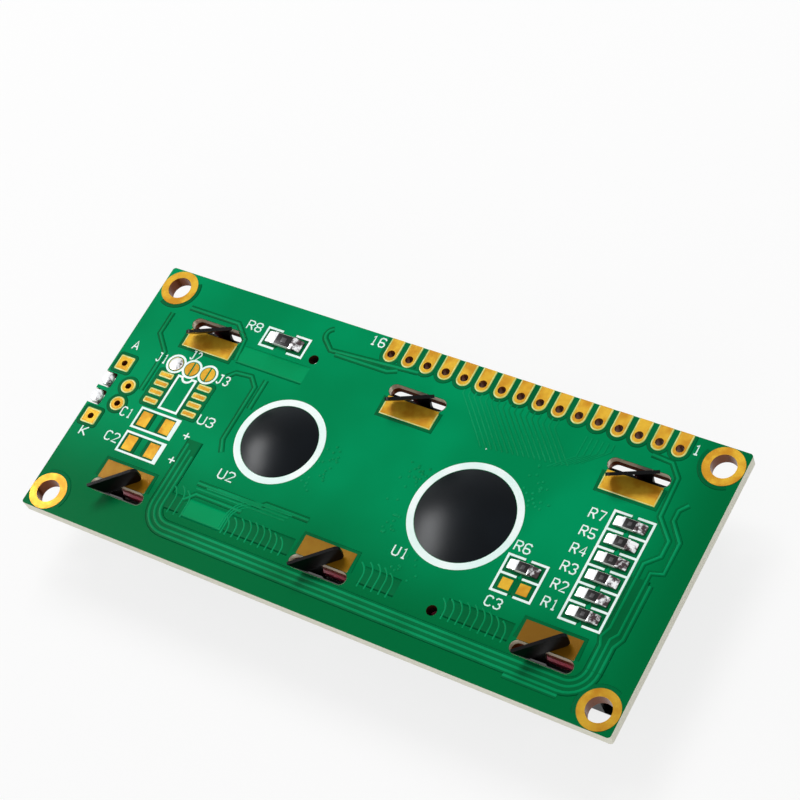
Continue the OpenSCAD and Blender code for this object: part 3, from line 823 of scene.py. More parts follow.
class Pen:
    """Draws flat lines on the back of the board, corner by corner, and makes raised copper or ink of them.

    Places are in millimetres from the board's lower left corner.
    """

    def __init__(self) -> None:
        """Start an empty drawing."""
        self.at: Place = (0.0, 0.0)
        Bench.clear()
        bpy.ops.mesh.primitive_plane_add(size=MM)
        bpy.ops.object.mode_set(mode="EDIT")
        bpy.ops.mesh.select_all(action="SELECT")
        bpy.ops.mesh.delete(type="VERT")

    def place(self, x: float, y: float) -> tuple[float, float, float]:
        """Turn a place on the board into metres in the flat drawing.

        Args:
            x: Place along the board.
            y: Place across the board.

        Returns:
            The place in the shared frame, at height 0.
        """
        return CORNER.x + x * MM, CORNER.y + y * MM, 0.0

    def start(self, x: float, y: float) -> "Pen":
        """Put the pen down.

        Args:
            x: Place along the board.
            y: Place across the board.

        Returns:
            The pen.
        """
        bpy.ops.mesh.select_all(action="DESELECT")
        bpy.ops.mesh.primitive_plane_add(size=0.1 * MM, location=self.place(x, y))
        bpy.ops.mesh.merge(type="CENTER")
        self.at = (x, y)
        return self

    def go(self, dx: float, dy: float) -> "Pen":
        """Draw a straight line.

        Args:
            dx: Step along the board.
            dy: Step across the board.

        Returns:
            The pen.
        """
        bpy.ops.mesh.extrude_vertices_move(TRANSFORM_OT_translate={"value": (dx * MM, dy * MM, 0)})
        self.at = (self.at[0] + dx, self.at[1] + dy)
        return self

    def to(self, x: float, y: float) -> "Pen":
        """Draw a straight line to a place.

        Args:
            x: Place along the board.
            y: Place across the board.

        Returns:
            The pen.
        """
        return self.go(x - self.at[0], y - self.at[1])

    def turn(self, radius: float, heading: float, degrees: float, steps: int = 5) -> "Pen":
        """Draw an arc that starts in a heading.

        Args:
            radius: The arc's radius in millimetres.
            heading: Direction of travel at its start, in degrees from +X.
            degrees: Angle of the arc, positive to the left.
            steps: Number of straight pieces.

        Returns:
            The pen.
        """
        side = math.copysign(1, degrees)
        aim = math.radians(heading + 90 * side)
        centre = (self.at[0] + radius * math.cos(aim), self.at[1] + radius * math.sin(aim))
        sweep = math.radians(degrees)
        bpy.ops.mesh.spin(steps=steps, angle=-sweep, center=self.place(*centre), axis=(0, 0, 1))
        end = aim + math.pi + sweep
        self.at = (centre[0] + radius * math.cos(end), centre[1] + radius * math.sin(end))
        return self

    def box(self, left: float, bottom: float, right: float, top: float, corner: float = 0.1) -> "Pen":
        """Draw a closed box with rounded corners.

        Args:
            left: Left side in millimetres.
            bottom: Bottom side in millimetres.
            right: Right side in millimetres.
            top: Top side in millimetres.
            corner: Corner radius in millimetres.

        Returns:
            The pen.
        """
        bpy.ops.mesh.select_all(action="DESELECT")
        middle = self.place((left + right) / 2, (bottom + top) / 2)
        bpy.ops.mesh.primitive_plane_add(size=MM, location=middle)
        bpy.ops.transform.resize(value=(right - left, top - bottom, 1), center_override=middle)
        if corner:
            bpy.ops.mesh.bevel(offset=corner * MM, segments=5, affect="VERTICES")
        bpy.ops.mesh.delete(type="ONLY_FACE")
        return self

    def circle(self, x: float, y: float, radius: float, steps: int = 32) -> "Pen":
        """Draw a circle.

        Args:
            x: Its middle along the board in millimetres.
            y: Its middle across the board in millimetres.
            radius: Its radius in millimetres.
            steps: Number of straight pieces.

        Returns:
            The pen.
        """
        bpy.ops.mesh.select_all(action="DESELECT")
        bpy.ops.mesh.primitive_circle_add(vertices=steps, radius=radius * MM, location=self.place(x, y))
        return self

    def ribs(self, section: Rib) -> Piece:
        """Turn the lines into low rounded ribs.

        Args:
            section: Width and height of the ribs.

        Returns:
            The ribs as one piece.
        """
        bpy.ops.object.mode_set(mode="OBJECT")
        bpy.ops.object.convert(target="CURVE")
        piece = bpy.context.object
        piece.data.bevel_depth = section.width / 2 * MM
        piece.data.bevel_resolution = 2
        piece.data.use_fill_caps = True
        bpy.ops.object.convert(target="MESH")
        Bench.edit(piece)
        flatten = section.height / (section.width / 2)
        bpy.ops.transform.resize(value=(1, 1, flatten), center_override=(0, 0, 0))
        bpy.ops.transform.translate(value=(0, 0, CORNER.z))
        bpy.ops.object.mode_set(mode="OBJECT")
        bpy.ops.object.shade_smooth()
        return piece


# ----------------------------------------------------------------------------------------------------------
# Sub-assemblies


@dataclass(frozen=True)
class SoftLamp:
    """A soft lamp that faces the module, with its sizes in millimetres and its direction in degrees.

    The azimuth counts from +X and the elevation from the floor. The share is its part of the light on a level
    surface. A lamp for sheen shows in glossy surfaces only, and any other lamp doesn't show in them.
    """

    name: str
    azimuth: float
    elevation: float
    distance: float
    width: float
    height: float
    share: float
    for_sheen: bool = False

    def hang(self) -> None:
        """Hang the lamp."""
        turn, rise = math.radians(self.azimuth), math.radians(self.elevation)
        towards = Vector((math.cos(turn) * math.cos(rise), math.sin(turn) * math.cos(rise), math.sin(rise)))
        lamp = bpy.data.objects.new(self.name, bpy.data.lights.new(self.name, "AREA"))
        bpy.context.scene.collection.objects.link(lamp)
        lamp.data.shape = "RECTANGLE"
        lamp.data.size = self.width * MM
        lamp.data.size_y = self.height * MM
        lamp.data.energy = self.share * (math.pi * self.distance * MM) ** 2 / math.sin(rise)
        lamp.location = towards * self.distance * MM
        lamp.rotation_mode = "QUATERNION"
        lamp.rotation_quaternion = towards.to_track_quat("Z", "Y")
        lamp.visible_glossy = self.for_sheen
        lamp.visible_diffuse = not self.for_sheen


@dataclass
class Studio:
    """The camera, the lights and the floor."""

    eye: tuple[float, float, float] = (115.87, -80.58, 214.44)
    aim: tuple[float, float, float] = (-0.46585, 0.36083, -0.80795)
    roll: float = 27.5
    lens: float = 97.47
    sensor: float = 36
    nearest: float = 0.01
    farthest: float = 20
    floor_size: float = 4
    dome_level: float = 0.36
    lamps: tuple[SoftLamp, ...] = (
        SoftLamp("key_lamp", 118, 56, 600, 240, 240, 0.5),
        SoftLamp("side_lamp", 190, 22, 420, 260, 110, 0.04),
        SoftLamp("fill_lamp", -62, 22, 500, 220, 160, 0.06),
        SoftLamp("sheen_lamp", 194, 41, 420, 300, 180, 1.5, for_sheen=True),
    )

    def build(self) -> None:
        """Make the camera, the dome, the lamps and the floor."""
        self.place_camera()
        self.make_dome()
        for lamp in self.lamps:
            lamp.hang()
        self.lay_floor()

    def place_camera(self) -> None:
        """Put the camera at its place, with its roll about the line of sight."""
        forward = Vector(self.aim).normalized()
        level = forward.cross(Vector((0, 0, 1))).normalized()
        above = level.cross(forward)
        turn = math.radians(self.roll)
        right = level * math.cos(turn) - above * math.sin(turn)
        upward = level * math.sin(turn) + above * math.cos(turn)
        camera = bpy.data.objects.new("camera", bpy.data.cameras.new("camera"))
        bpy.context.scene.collection.objects.link(camera)
        axes = Matrix((right, upward, -forward)).transposed().to_4x4()
        camera.matrix_world = Matrix.Translation(Vector(self.eye) * MM) @ axes
        camera.data.lens = self.lens
        camera.data.sensor_width = self.sensor
        camera.data.clip_start = self.nearest
        camera.data.clip_end = self.farthest
        bpy.context.scene.camera = camera

    def make_dome(self) -> None:
        """Make the even light from all round, which shows as white."""
        world = bpy.data.worlds.new("dome")
        bpy.context.scene.world = world
        world.use_nodes = True
        graph = Graph(world.node_tree)
        level = graph.math("MULTIPLY_ADD", graph.seen(), 1.0 - self.dome_level, self.dome_level)
        graph.feed(world.node_tree.nodes["Background"], Color=(1.0, 1.0, 1.0), Strength=level)
        bpy.context.scene.view_settings.view_transform = "Standard"

    def lay_floor(self) -> None:
        """Lay the floor that the bezel rests on."""
        Bench.clear()
        bpy.ops.mesh.primitive_plane_add(size=self.floor_size)
        floor = bpy.context.object
        floor.name = "floor"
        floor.data.materials.append(FloorFinish().build())


def islands(node: str) -> list[tuple[Vector, Vector]]:
    """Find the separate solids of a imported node.

    Args:
        node: The node's name.

    Returns:
        The low and high corner of each solid, in metres, from the lowest X and Y on.
    """
    mesh = frame["nodes"][node].data
    spots = [tuple(round(part / (0.001 * MM)) for part in vertex.co) for vertex in mesh.vertices]
    leader = {spot: spot for spot in spots}

    def find(spot: tuple[int, int, int]) -> tuple[int, int, int]:
        """Follow a spot to the leader of its solid."""
        while leader[spot] != spot:
            leader[spot] = leader[leader[spot]]
            spot = leader[spot]
        return spot

    for edge in mesh.edges:
        leader[find(spots[edge.vertices[0]])] = find(spots[edge.vertices[1]])
    groups: dict[tuple[int, int, int], list[Vector]] = {}
    for vertex, spot in zip(mesh.vertices, spots):
        groups.setdefault(find(spot), []).append(vertex.co)
    boxes = [(Vector(map(min, zip(*group))), Vector(map(max, zip(*group)))) for group in groups.values()]
    return sorted(boxes, key=lambda box: (round(box[0].x / MM), round(box[0].y / MM)))


@dataclass
class Lands:
    """The edges of the bare lands: the dark gap in the copper round them, and the pale lap of the mask."""

    bare: Material
    rim: Material
    gap_line: Rib = Rib(0.85, 0.016)
    rim_line: Rib = Rib(0.24, 0.066)
    slot_length: float = 7.8
    earth_length: float = 7.0
    earth_side: float = 2.0
    edge_stop: float = 0.06
    square_lands_end: float = 2.0
    ring_arc: float = 150
    gap: float = 0.12
    part_gap: float = 0.1
    lap: float = 0.06
    header_lap: float = 0.04

    def build(self) -> None:
        """Draw the gaps, then the rims, each at its own distance outside the lands."""
        pen = Pen()
        self.header(pen, self.gap)
        self.earth(pen, self.gap, True)
        for node in ("chip_lands", "capacitor_lands", "resistor_solder"):
            self.boxes(pen, node, self.part_gap)
        self.wires(pen, self.gap)
        self.rings(pen, self.part_gap)
        Bench.settle(pen.ribs(self.gap_line), "copper_gaps", Slot.BOARD, [self.bare])
        pen = Pen()
        self.header(pen, -self.header_lap)
        self.earth(pen, -self.lap, False)
        self.boxes(pen, "chip_lands", -self.lap)
        self.wires(pen, 0.0)
        Bench.settle(pen.ribs(self.rim_line), "mask_rims", Slot.BOARD, [self.rim])

    def corners(self, node: str, grow: float) -> Iterable[tuple[float, float, float, float]]:
        """Give the sides of each solid of a node, in millimetres from the board's corner.

        Args:
            node: The node's name.
            grow: How far each side moves outwards, in millimetres.

        Yields:
            The left, bottom, right and top side.
        """
        for low, high in islands(node):
            near, far = (low - CORNER) / MM, (high - CORNER) / MM
            yield near.x - grow, near.y - grow, far.x + grow, far.y + grow

    def header(self, pen: Pen, grow: float) -> None:
        """Draw round the header lands, which are open at the board's edge.

        Args:
            pen: The pen to draw with.
            grow: Distance of the line outside the lands.
        """
        for left, bottom, right, top in self.corners("header_lands", grow):
            radius = (right - left) / 2
            edge = top - grow - self.edge_stop
            pen.start(left, edge).to(left, bottom + radius).turn(radius, 270, 180, 12).to(right, edge)

    def earth(self, pen: Pen, grow: float, lower_row: bool) -> None:
        """Draw round the three free sides of the lands beside the slots.

        Args:
            pen: The pen to draw with.
            grow: Distance of the line outside the lands.
            lower_row: Whether the lower row is drawn as well.
        """
        inset = (self.slot_length - self.earth_length) / 2
        middle = (BOARD_HIGH - CORNER).y / 2 / MM
        for left, bottom, right, top in self.corners("earth_lands", grow):
            near, far = left + inset, right - inset
            if bottom > middle:
                side = top - self.earth_side
                pen.start(near, side).to(near, bottom).to(far, bottom).to(far, side)
            elif lower_row:
                side = bottom + self.earth_side
                pen.start(near, side).to(near, top).to(far, top).to(far, side)

    def boxes(self, pen: Pen, node: str, grow: float) -> None:
        """Draw round square lands.

        Args:
            pen: The pen to draw with.
            node: The lands' node.
            grow: Distance of the line outside the lands.
        """
        for sides in self.corners(node, grow):
            pen.box(*sides)

    def wires(self, pen: Pen, grow: float) -> None:
        """Draw round the square and the round lands at the left end.

        Args:
            pen: The pen to draw with.
            grow: Distance of the line outside the lands.
        """
        for left, bottom, right, top in self.corners("backlight_lands", grow):
            if left < self.square_lands_end:
                pen.box(left, bottom, right, top)
            else:
                pen.circle((left + right) / 2, (bottom + top) / 2, (right - left) / 2)

    def rings(self, pen: Pen, grow: float) -> None:
        """Draw round the rings of the mounting holes, on the side away from the board's corner.

        Args:
            pen: The pen to draw with.
            grow: Distance of the line outside the rings.
        """
        middle = (BOARD_HIGH - CORNER) / 2 / MM
        for left, bottom, right, top in self.corners("mounting_rings", grow):
            radius = (right - left) / 2
            x, y = (left + right) / 2, (bottom + top) / 2
            inwards = math.atan2(1 if y < middle.y else -1, 1 if x < middle.x else -1)
            first = inwards - math.radians(self.ring_arc / 2)
            pen.start(x + radius * math.cos(first), y + radius * math.sin(first))
            pen.turn(radius, math.degrees(first) + 90, self.ring_arc, 16)


@dataclass
class Tracks:
    """The copper tracks under the mask, each a light rib between two dark gaps."""

    light: Material
    bare: Material
    pour: Material
    bus_pitch: float = 0.7
    bus_rows: int = 3
    corridor: Rib = Rib(2.3, 0.01)
    plane: Rib = Rib(2.6, 0.008)
    gap: Rib = Rib(0.8, 0.014)
    track: Rib = Rib(0.34, 0.04)
    fine: Rib = Rib(0.22, 0.03)
    stub_pitch: float = 0.95
    fan_pitch: float = 0.78

    def build(self) -> None:
        """Draw the bare and the copper areas, then the dark gaps, and the light tracks on top."""
        routes = [self.bus, self.right_riser, self.left_riser, self.cross_lines, self.hook]
        self.stroke([self.corridors], self.corridor, "bare_areas", self.bare)
        self.stroke([self.planes], self.plane, "copper_planes", self.pour)
        self.stroke(routes, self.gap, "track_gaps", self.bare)
        self.stroke(routes, self.track, "tracks", self.light)
        self.stroke([self.stubs, self.arches, self.fan], self.fine, "fine_tracks", self.light)

    def stroke(
        self, routes: list[Callable[[Pen], None]], section: Rib, name: str, finish: Material
    ) -> None:
        """Draw some routes with one section.

        Args:
            routes: The methods that draw them.
            section: Width and height of the lines.
            name: Name of the piece.
            finish: Its material.
        """
        pen = Pen()
        for route in routes:
            route(pen)
        Bench.settle(pen.ribs(section), name, Slot.BOARD, [finish])

    def corridors(self, pen: Pen) -> None:
        """Draw the wide areas without copper: the bus, its rise at the right and the stub fields."""
        pen.start(16.8, 15.0).to(16.8, 6.15).turn(2.7, 270, 90, 8).to(72.3, 3.45)
        pen.turn(2.7, 0, 90, 8).to(75.0, 17.8)
        for left, right in ((16.6, 20.0), (26.6, 35.6), (45.2, 50.0), (56.2, 64.6)):
            pen.start(left, 6.9).to(right, 6.9)

    def planes(self, pen: Pen) -> None:
        """Draw the copper areas that stand out as lighter."""
        pen.start(15.6, 27.6).to(25.2, 27.6)
        pen.start(20.6, 6.8).to(26.0, 6.8)

    def bus(self, pen: Pen) -> None:
        """Draw the bus along the lower edge, round both corners and clear of the slots."""
        for row in range(self.bus_rows):
            step = row * self.bus_pitch
            pen.start(17.5 - step, 13.0 + step).to(17.5 - step, 6.15)
            pen.turn(2.0 + step, 270, 90, 8).to(72.3, 4.15 - step)
            pen.turn(2.0 + step, 0, 90, 8)

    def right_riser(self, pen: Pen) -> None:
        """Draw the tracks that climb the right side with their steps aside."""
        pen.start(74.3, 6.2).go(0.0, 3.0).go(-0.4, 1.0).go(0.5, 1.2).to(74.4, 19.6).go(1.4, 1.4).go(0, 2.0)
        pen.go(-2.2, 2.4).to(73.4, 30.4).go(-1.4, 1.6).go(-2.6, 0.2)
        pen.start(75.0, 6.2).go(0, 4.0).go(0.6, 0.8).go(0, 7.8).go(1.4, 0.4).go(0, 4.0)
        pen.go(-1.8, 2.2).go(0, 1.4).go(0.8, 1.0)
        pen.start(75.7, 6.2).go(0, 3.2).go(0.6, 1.2).to(76.3, 17.4)

    def left_riser(self, pen: Pen) -> None:
        """Draw the tracks round the chip lands at the left."""
        pen.start(5.9, 18.8).to(5.9, 24.6).go(-2.2, 2.2).go(0, 3.2)
        pen.start(15.6, 24.2).go(0.9, 0.9).go(2.2, 0.2).go(1.2, -1.2).to(19.9, 16.4).go(0.8, -1.6)
        pen.start(15.4, 26.6).go(-0.4, 3.0).go(-2.0, 1.8).go(-7.4, 0)
        pen.start(20.8, 21.2).to(20.8, 25.4)

    def cross_lines(self, pen: Pen) -> None:
        """Draw the lines that cross the middle below the small cap."""
        pen.start(19.6, 7.6).go(1.2, 1.2).to(27.4, 8.8)
        pen.start(20.2, 10.2).go(9.0, 0).go(0.6, 0.5).go(6.0, 0)
        pen.start(66.0, 2.2).to(72.6, 2.2)

    def hook(self, pen: Pen) -> None:
        """Draw the hooked track left of the header row."""
        pen.start(25.3, 34.7).turn(1.0, 200, 130, 8).go(1.2, -1.0).to(38.4, 32.7)
        pen.start(27.2, 31.6).to(34.6, 31.6).go(1.2, 0.5)

    def stubs(self, pen: Pen) -> None:
        """Draw the upright tracks above the bus, which bend to the left at their tops."""
        for left, count, top in ((18.6, 3, 7.0), (27.0, 9, 6.0), (45.4, 5, 6.6), (56.4, 9, 6.2)):
            for i in range(count):
                x = left + i * self.stub_pitch
                rise = 0.7 * math.sin(math.pi * (i + 0.5) / count)
                pen.start(x, 5.4).to(x, top + rise).turn(1.7, 90, 62, 5)

    def arches(self, pen: Pen) -> None:
        """Draw the arched tracks over the stub fields."""
        for i in range(3):
            x = 26.4 - 0.3 * i
            pen.start(x, 5.4 + 0.3 * i).to(x, 7.4).turn(2.2 + 0.45 * i, 90, -90, 8).go(3.4 - i * 0.5, 0)
            pen.start(20.4 + i * 1.3, 9.5 + 0.42 * i).go(12.6 - i, 0.12)

    def fan(self, pen: Pen) -> None:
        """Draw the tracks that fan out from the header row to the large cap."""
        for i in range(17):
            fall = 5.8 - 0.12 * i
            pen.start(44.9 + i * self.fan_pitch, 32.6).go(0, -0.5 - 0.04 * i).go(fall * 0.95, -fall)
        for i in range(6):
            pen.start(64.9 - i * 0.7, 31.8).go(0, -1.0 - 0.35 * i).go(-2.6, -2.4)


@dataclass
class Vias:
    """The filled vias that show as small bumps round the two caps."""

    finish: Material
    radius: float = 0.18
    height: float = 0.05
    nearest: float = 1.2
    farthest: float = 1.7
    seed: int = 11
    sectors: tuple[tuple[str, float, float, int], ...] = (
        ("controller_cap", 25, 60, 22),
        ("controller_cap", 150, 215, 34),
        ("controller_cap", 240, 262, 10),
        ("driver_cap", -35, 15, 24),
    )

    def build(self) -> None:
        """Make one bump and scatter its copies over the sectors, which go from one angle to another."""
        Bench.clear()
        bpy.ops.mesh.primitive_uv_sphere_add(segments=12, ring_count=6, radius=self.radius * MM)
        bump = bpy.context.object
        bpy.ops.object.shade_smooth()
        Bench.edit(bump)
        squash = self.height / self.radius
        bpy.ops.transform.resize(value=(1, 1, squash), center_override=(0, 0, 0))
        Bench.clear()
        chance = random.Random(self.seed)
        copies = []
        for cap, first, last, count in self.sectors:
            low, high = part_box(cap)
            middle, reach = (low + high) / 2, (high.x - low.x) / 2
            for _ in range(count):
                turn = math.radians(chance.uniform(first, last))
                away = reach * chance.uniform(self.nearest, self.farthest)
                x, y = middle.x + away * math.cos(turn), middle.y + away * math.sin(turn)
                copies.append(Bench.copy(bump, Vector((x, y, CORNER.z))))
        piece = Bench.join(copies)
        bpy.data.objects.remove(bump)
        Bench.settle(piece, "filled_vias", Slot.BOARD, [self.finish])


@dataclass
class Lettering:
    """The printed letters and numbers: header pins 1 and 16, A and K, and the parts' plain position names.

    Every letter is drawn as single strokes on a grid 4 wide and 6 high. A point of a stroke is two digits, its
    column and its row.
    """

    ink: Material
    line: Rib = Rib(0.2, 0.04)
    height: float = 1.4
    plus_share: float = 1.5
    gap: float = 0.34
    grid: tuple[int, int] = (4, 6)
    words: tuple[tuple[str, float, float, float], ...] = (
        ("16", 31.5, 34.95, 2.1),
        ("1", 73.9, 34.4, 1.1),
        ("A", 1.7, 24.2, 1.0),
        ("K", 2.0, 11.3, 1.1),
        ("R8", 15.25, 31.75, 2.2),
        ("J1", 6.1, 23.75, 1.7),
        ("J2", 10.2, 25.45, 1.5),
        ("J3", 15.5, 23.6, 1.8),
        ("U3", 16.55, 17.85, 2.4),
        ("C1", 6.0, 15.45, 1.8),
        ("C2", 6.1, 11.85, 2.1),
        ("U2", 23.05, 12.3, 2.3),
        ("U1", 48.1, 11.05, 2.1),
        ("R6", 61.05, 16.6, 2.1),
        ("C3", 61.05, 9.4, 2.1),
    )
    column: tuple[str, ...] = ("R1", "R2", "R3", "R4", "R5", "R7")
    column_at: Place = (67.0, 11.6)
    column_pitch: float = 2.32
    column_width: float = 2.0
    plus_at: tuple[Place, ...] = ((15.3, 15.2), (15.3, 11.7))
    plus_width: float = 1.1
    speck_at: Place = (51.05, 26.3)
    speck_length: float = 0.1
    strokes: dict[str, str] = field(
        default_factory=lambda: {
            "A": "00-26-40 12-32",
            "C": "45-36-16-05-01-10-30-41",
            "J": "16-46 36-31-20-10-01",
            "K": "00-06 46-02 13-40",
            "R": "00-06-36-45-44-33-03 23-40",
            "U": "06-01-10-30-41-46",
            "1": "15-26-20 10-30",
            "2": "05-16-36-45-44-00-40",
            "3": "05-16-36-45-44-33-23 33-42-41-30-10-01",
            "4": "30-36-02-42",
            "5": "46-06-03-33-42-41-30-10-01",
            "6": "45-36-16-05-01-10-30-41-42-33-03",
            "7": "06-46-20",
            "8": "13-04-05-16-36-45-44-33-13-02-01-10-30-41-42-33",
            "+": "03-43 21-25",
        }
    )

    def build(self) -> None:
        """Print every word, the plus signs of both capacitors and one stray speck of ink."""
        pen = Pen()
        for text, x, y, width in self.words:
            self.word(pen, text, x, y, width)
        left, bottom = self.column_at
        for row, name in enumerate(self.column):
            self.word(pen, name, left, bottom + self.column_pitch * row, self.column_width)
        for x, y in self.plus_at:
            self.word(pen, "+", x, y, self.plus_width)
        pen.start(*self.speck_at).go(self.speck_length, 0)
        Bench.settle(pen.ribs(self.line), "printed_letters", Slot.INK, [self.ink])

    def word(self, pen: Pen, text: str, x: float, y: float, width: float) -> None:
        """Print one word.

        Args:
            pen: The pen to draw with.
            text: What it says.
            x: Its middle along the board in millimetres.
            y: Its middle across the board in millimetres.
            width: Its width in millimetres.
        """
        count = len(text)
        wide, high = self.grid
        each = (width - self.line.width - self.gap * (count - 1)) / count
        height = self.height - self.line.width if text != "+" else each * self.plus_share
        for i, letter in enumerate(text):
            left = x - (width - self.line.width) / 2 + i * (each + self.gap)
            for stroke in self.strokes[letter].split():
                first, *others = [
                    (left + int(spot[0]) / wide * each, y + (int(spot[1]) / high - 0.5) * height)
                    for spot in stroke.split("-")
                ]
                pen.start(*first)
                for spot in others:
                    pen.to(*spot)


@dataclass
class ChipResistors:
    """The chip resistors: each a white ceramic body, a black top coat and wrapped ends, soldered at both."""

    body: Material
    coat: Material
    tin: Material
    solder: Material
    # The solder shaded all over, for the right-hand ends: painted shade.
    shade_all_over: Material
    mark: Material
    count: int = 8
    end_share: float = 0.17
    body_inset: tuple[float, float, float] = (0.06, 0.04, 0.04)
    body_edge: float = 0.02
    mark_edge: float = 0.01
    cap_edge: float = 0.05
    fillet_edge: float = 0.1
    coat_inset: float = 0.1
    coat_height: float = 0.06
    coat_lap: float = 0.05
    mark_share: tuple[float, float] = (0.22, 0.4)
    mark_height: float = 0.05
    mark_sink: float = 0.018
    fillet_reach: float = 1.05
    fillet_width: float = 0.94
    fillet_lap: float = 0.12
    fillet_slope: float = 20.0
    below_top: float = 0.06
    smooth_angle: float = 40

    def build(self) -> None:
        """Build every resistor in place of its packed one, and the solder of all of them as one piece."""
        fillets = []
        for number in range(1, self.count + 1):
            node = f"resistor_{number}"
            self.resistor(node)
            fillets += [self.fillet(node, side) for side in (-1, 1)]
        piece = Bench.join(fillets)
        Bench.settle(piece, "chip_solder", Slot.SOLDER, [])
        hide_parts("resistor_solder")

    def resistor(self, node: str) -> None:
        """Build a resistor in place of a packed one.

        Args:
            node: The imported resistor's node.
        """
        low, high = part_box(node)
        size, middle = (high - low) / MM, (low + high) / 2
        end = size.x * self.end_share
        along, across = self.mark_share
        core = [side - inset for side, inset in zip(size, self.body_inset)]
        coated = size.x - 2 * (end - self.coat_lap)
        parts = [
            self.block(*core, self.body_edge, self.body),
            self.block(coated, size.y - self.coat_inset, self.coat_height, self.body_edge, self.coat),
            self.block(size.x * along, size.y * across, self.mark_height, self.mark_edge, self.mark),
        ]
        Bench.move(parts[1], (0, 0, (size.z - self.coat_height) / 2))
        Bench.move(parts[2], (0, 0, size.z / 2 - self.mark_sink))
        for side in (-1, 1):
            # Painted shade: the right-hand end takes the solder shaded all over, the left-hand end is bright
            # tin.
            finish = self.shade_all_over if side > 0 else self.tin
            cap = self.block(end, size.y, size.z, self.cap_edge, finish)
            Bench.move(cap, (side * (size.x - end) / 2, 0, 0))
            parts.append(cap)
        piece = Bench.join(parts)
        Bench.move(piece, middle / MM)
        Bench.settle(piece, f"{node}_detail", Slot.RESISTOR, [])
        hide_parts(node)

    def block(self, x: float, y: float, z: float, soft: float, finish: Material) -> Piece:
        """Make a block with softened edges round the origin.

        Args:
            x: Length in millimetres.
            y: Width in millimetres.
            z: Height in millimetres.
            soft: Width of the softened edges in millimetres.
            finish: Its material.

        Returns:
            The block.
        """
        Bench.clear()
        bpy.ops.mesh.primitive_cube_add(size=MM)
        piece = bpy.context.object
        Bench.edit(piece)
        bpy.ops.transform.resize(value=(x, y, z), center_override=(0, 0, 0))
        bpy.ops.mesh.bevel(offset=soft * MM, segments=2, affect="EDGES")
        bpy.ops.object.mode_set(mode="OBJECT")
        bpy.ops.object.shade_smooth_by_angle(angle=math.radians(self.smooth_angle))
        piece.data.materials.append(finish)
        return piece

    def fillet(self, node: str, side: int) -> Piece:
        """Make the solder that runs from a land up one end of a resistor.

        Args:
            node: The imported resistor's node.
            side: -1 for the left end, 1 for the right end.

        Returns:
            The fillet, in its place.
        """
        low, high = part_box(node)
        size, middle = (high - low) / MM, (low + high) / 2 / MM
        board = CORNER.z / MM
        rise = high.z / MM - board - self.below_top
        # Painted shade: the right-hand fillet takes the solder shaded all over.
        finish = self.shade_all_over if side > 0 else self.solder
        piece = self.block(self.fillet_reach, size.y * self.fillet_width, rise, self.fillet_edge, finish)
        lean = math.radians(self.fillet_slope)
        Bench.edit(piece)
        bpy.ops.mesh.bisect(
            plane_co=(-side * self.fillet_reach / 4 * MM, 0, rise / 2 * MM),
            plane_no=(side * math.sin(lean), 0, math.cos(lean)),
            use_fill=True,
            clear_outer=True,
        )
        bpy.ops.object.mode_set(mode="OBJECT")
        bpy.ops.object.shade_smooth_by_angle(angle=math.radians(self.smooth_angle))
        reach = (size.x + self.fillet_reach) / 2 - self.fillet_lap
        Bench.move(piece, (middle.x + side * reach, middle.y, board + rise / 2))
        return piece


@dataclass
class NotchSolder:
    """The two rounded lumps of solder that hold the backlight's pins in the notches of the left edge."""

    solder: Material
    radii: tuple[float, float, float] = (0.8, 0.95, 0.6)
    inset: float = 0.25
    lift: float = 0.05
    unevenness: float = 0.06
    seed: int = 3

    def build(self) -> None:
        """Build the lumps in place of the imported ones."""
        height = CORNER.z / MM + self.lift
        lumps = []
        for pin in ("backlight_pin_a", "backlight_pin_k"):
            low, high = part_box(pin)
            spot = (low.x / MM + self.inset, (low.y + high.y) / 2 / MM, height)
            Bench.clear()
            bpy.ops.mesh.primitive_ico_sphere_add(subdivisions=4, radius=MM)
            lump = bpy.context.object
            Bench.edit(lump)
            bpy.ops.transform.resize(value=self.radii, center_override=(0, 0, 0))
            bpy.ops.transform.vertex_random(offset=self.unevenness * MM, seed=self.seed)
            bpy.ops.mesh.vertices_smooth(factor=0.5, repeat=4)
            bpy.ops.object.mode_set(mode="OBJECT")
            bpy.ops.object.shade_smooth()
            Bench.move(lump, spot)
            lumps.append(lump)
        piece = Bench.join(lumps)
        Bench.settle(piece, "notch_solder", Slot.SOLDER, [self.solder])
        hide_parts("pin_solder")


# ----------------------------------------------------------------------------------------------------------
# The whole module


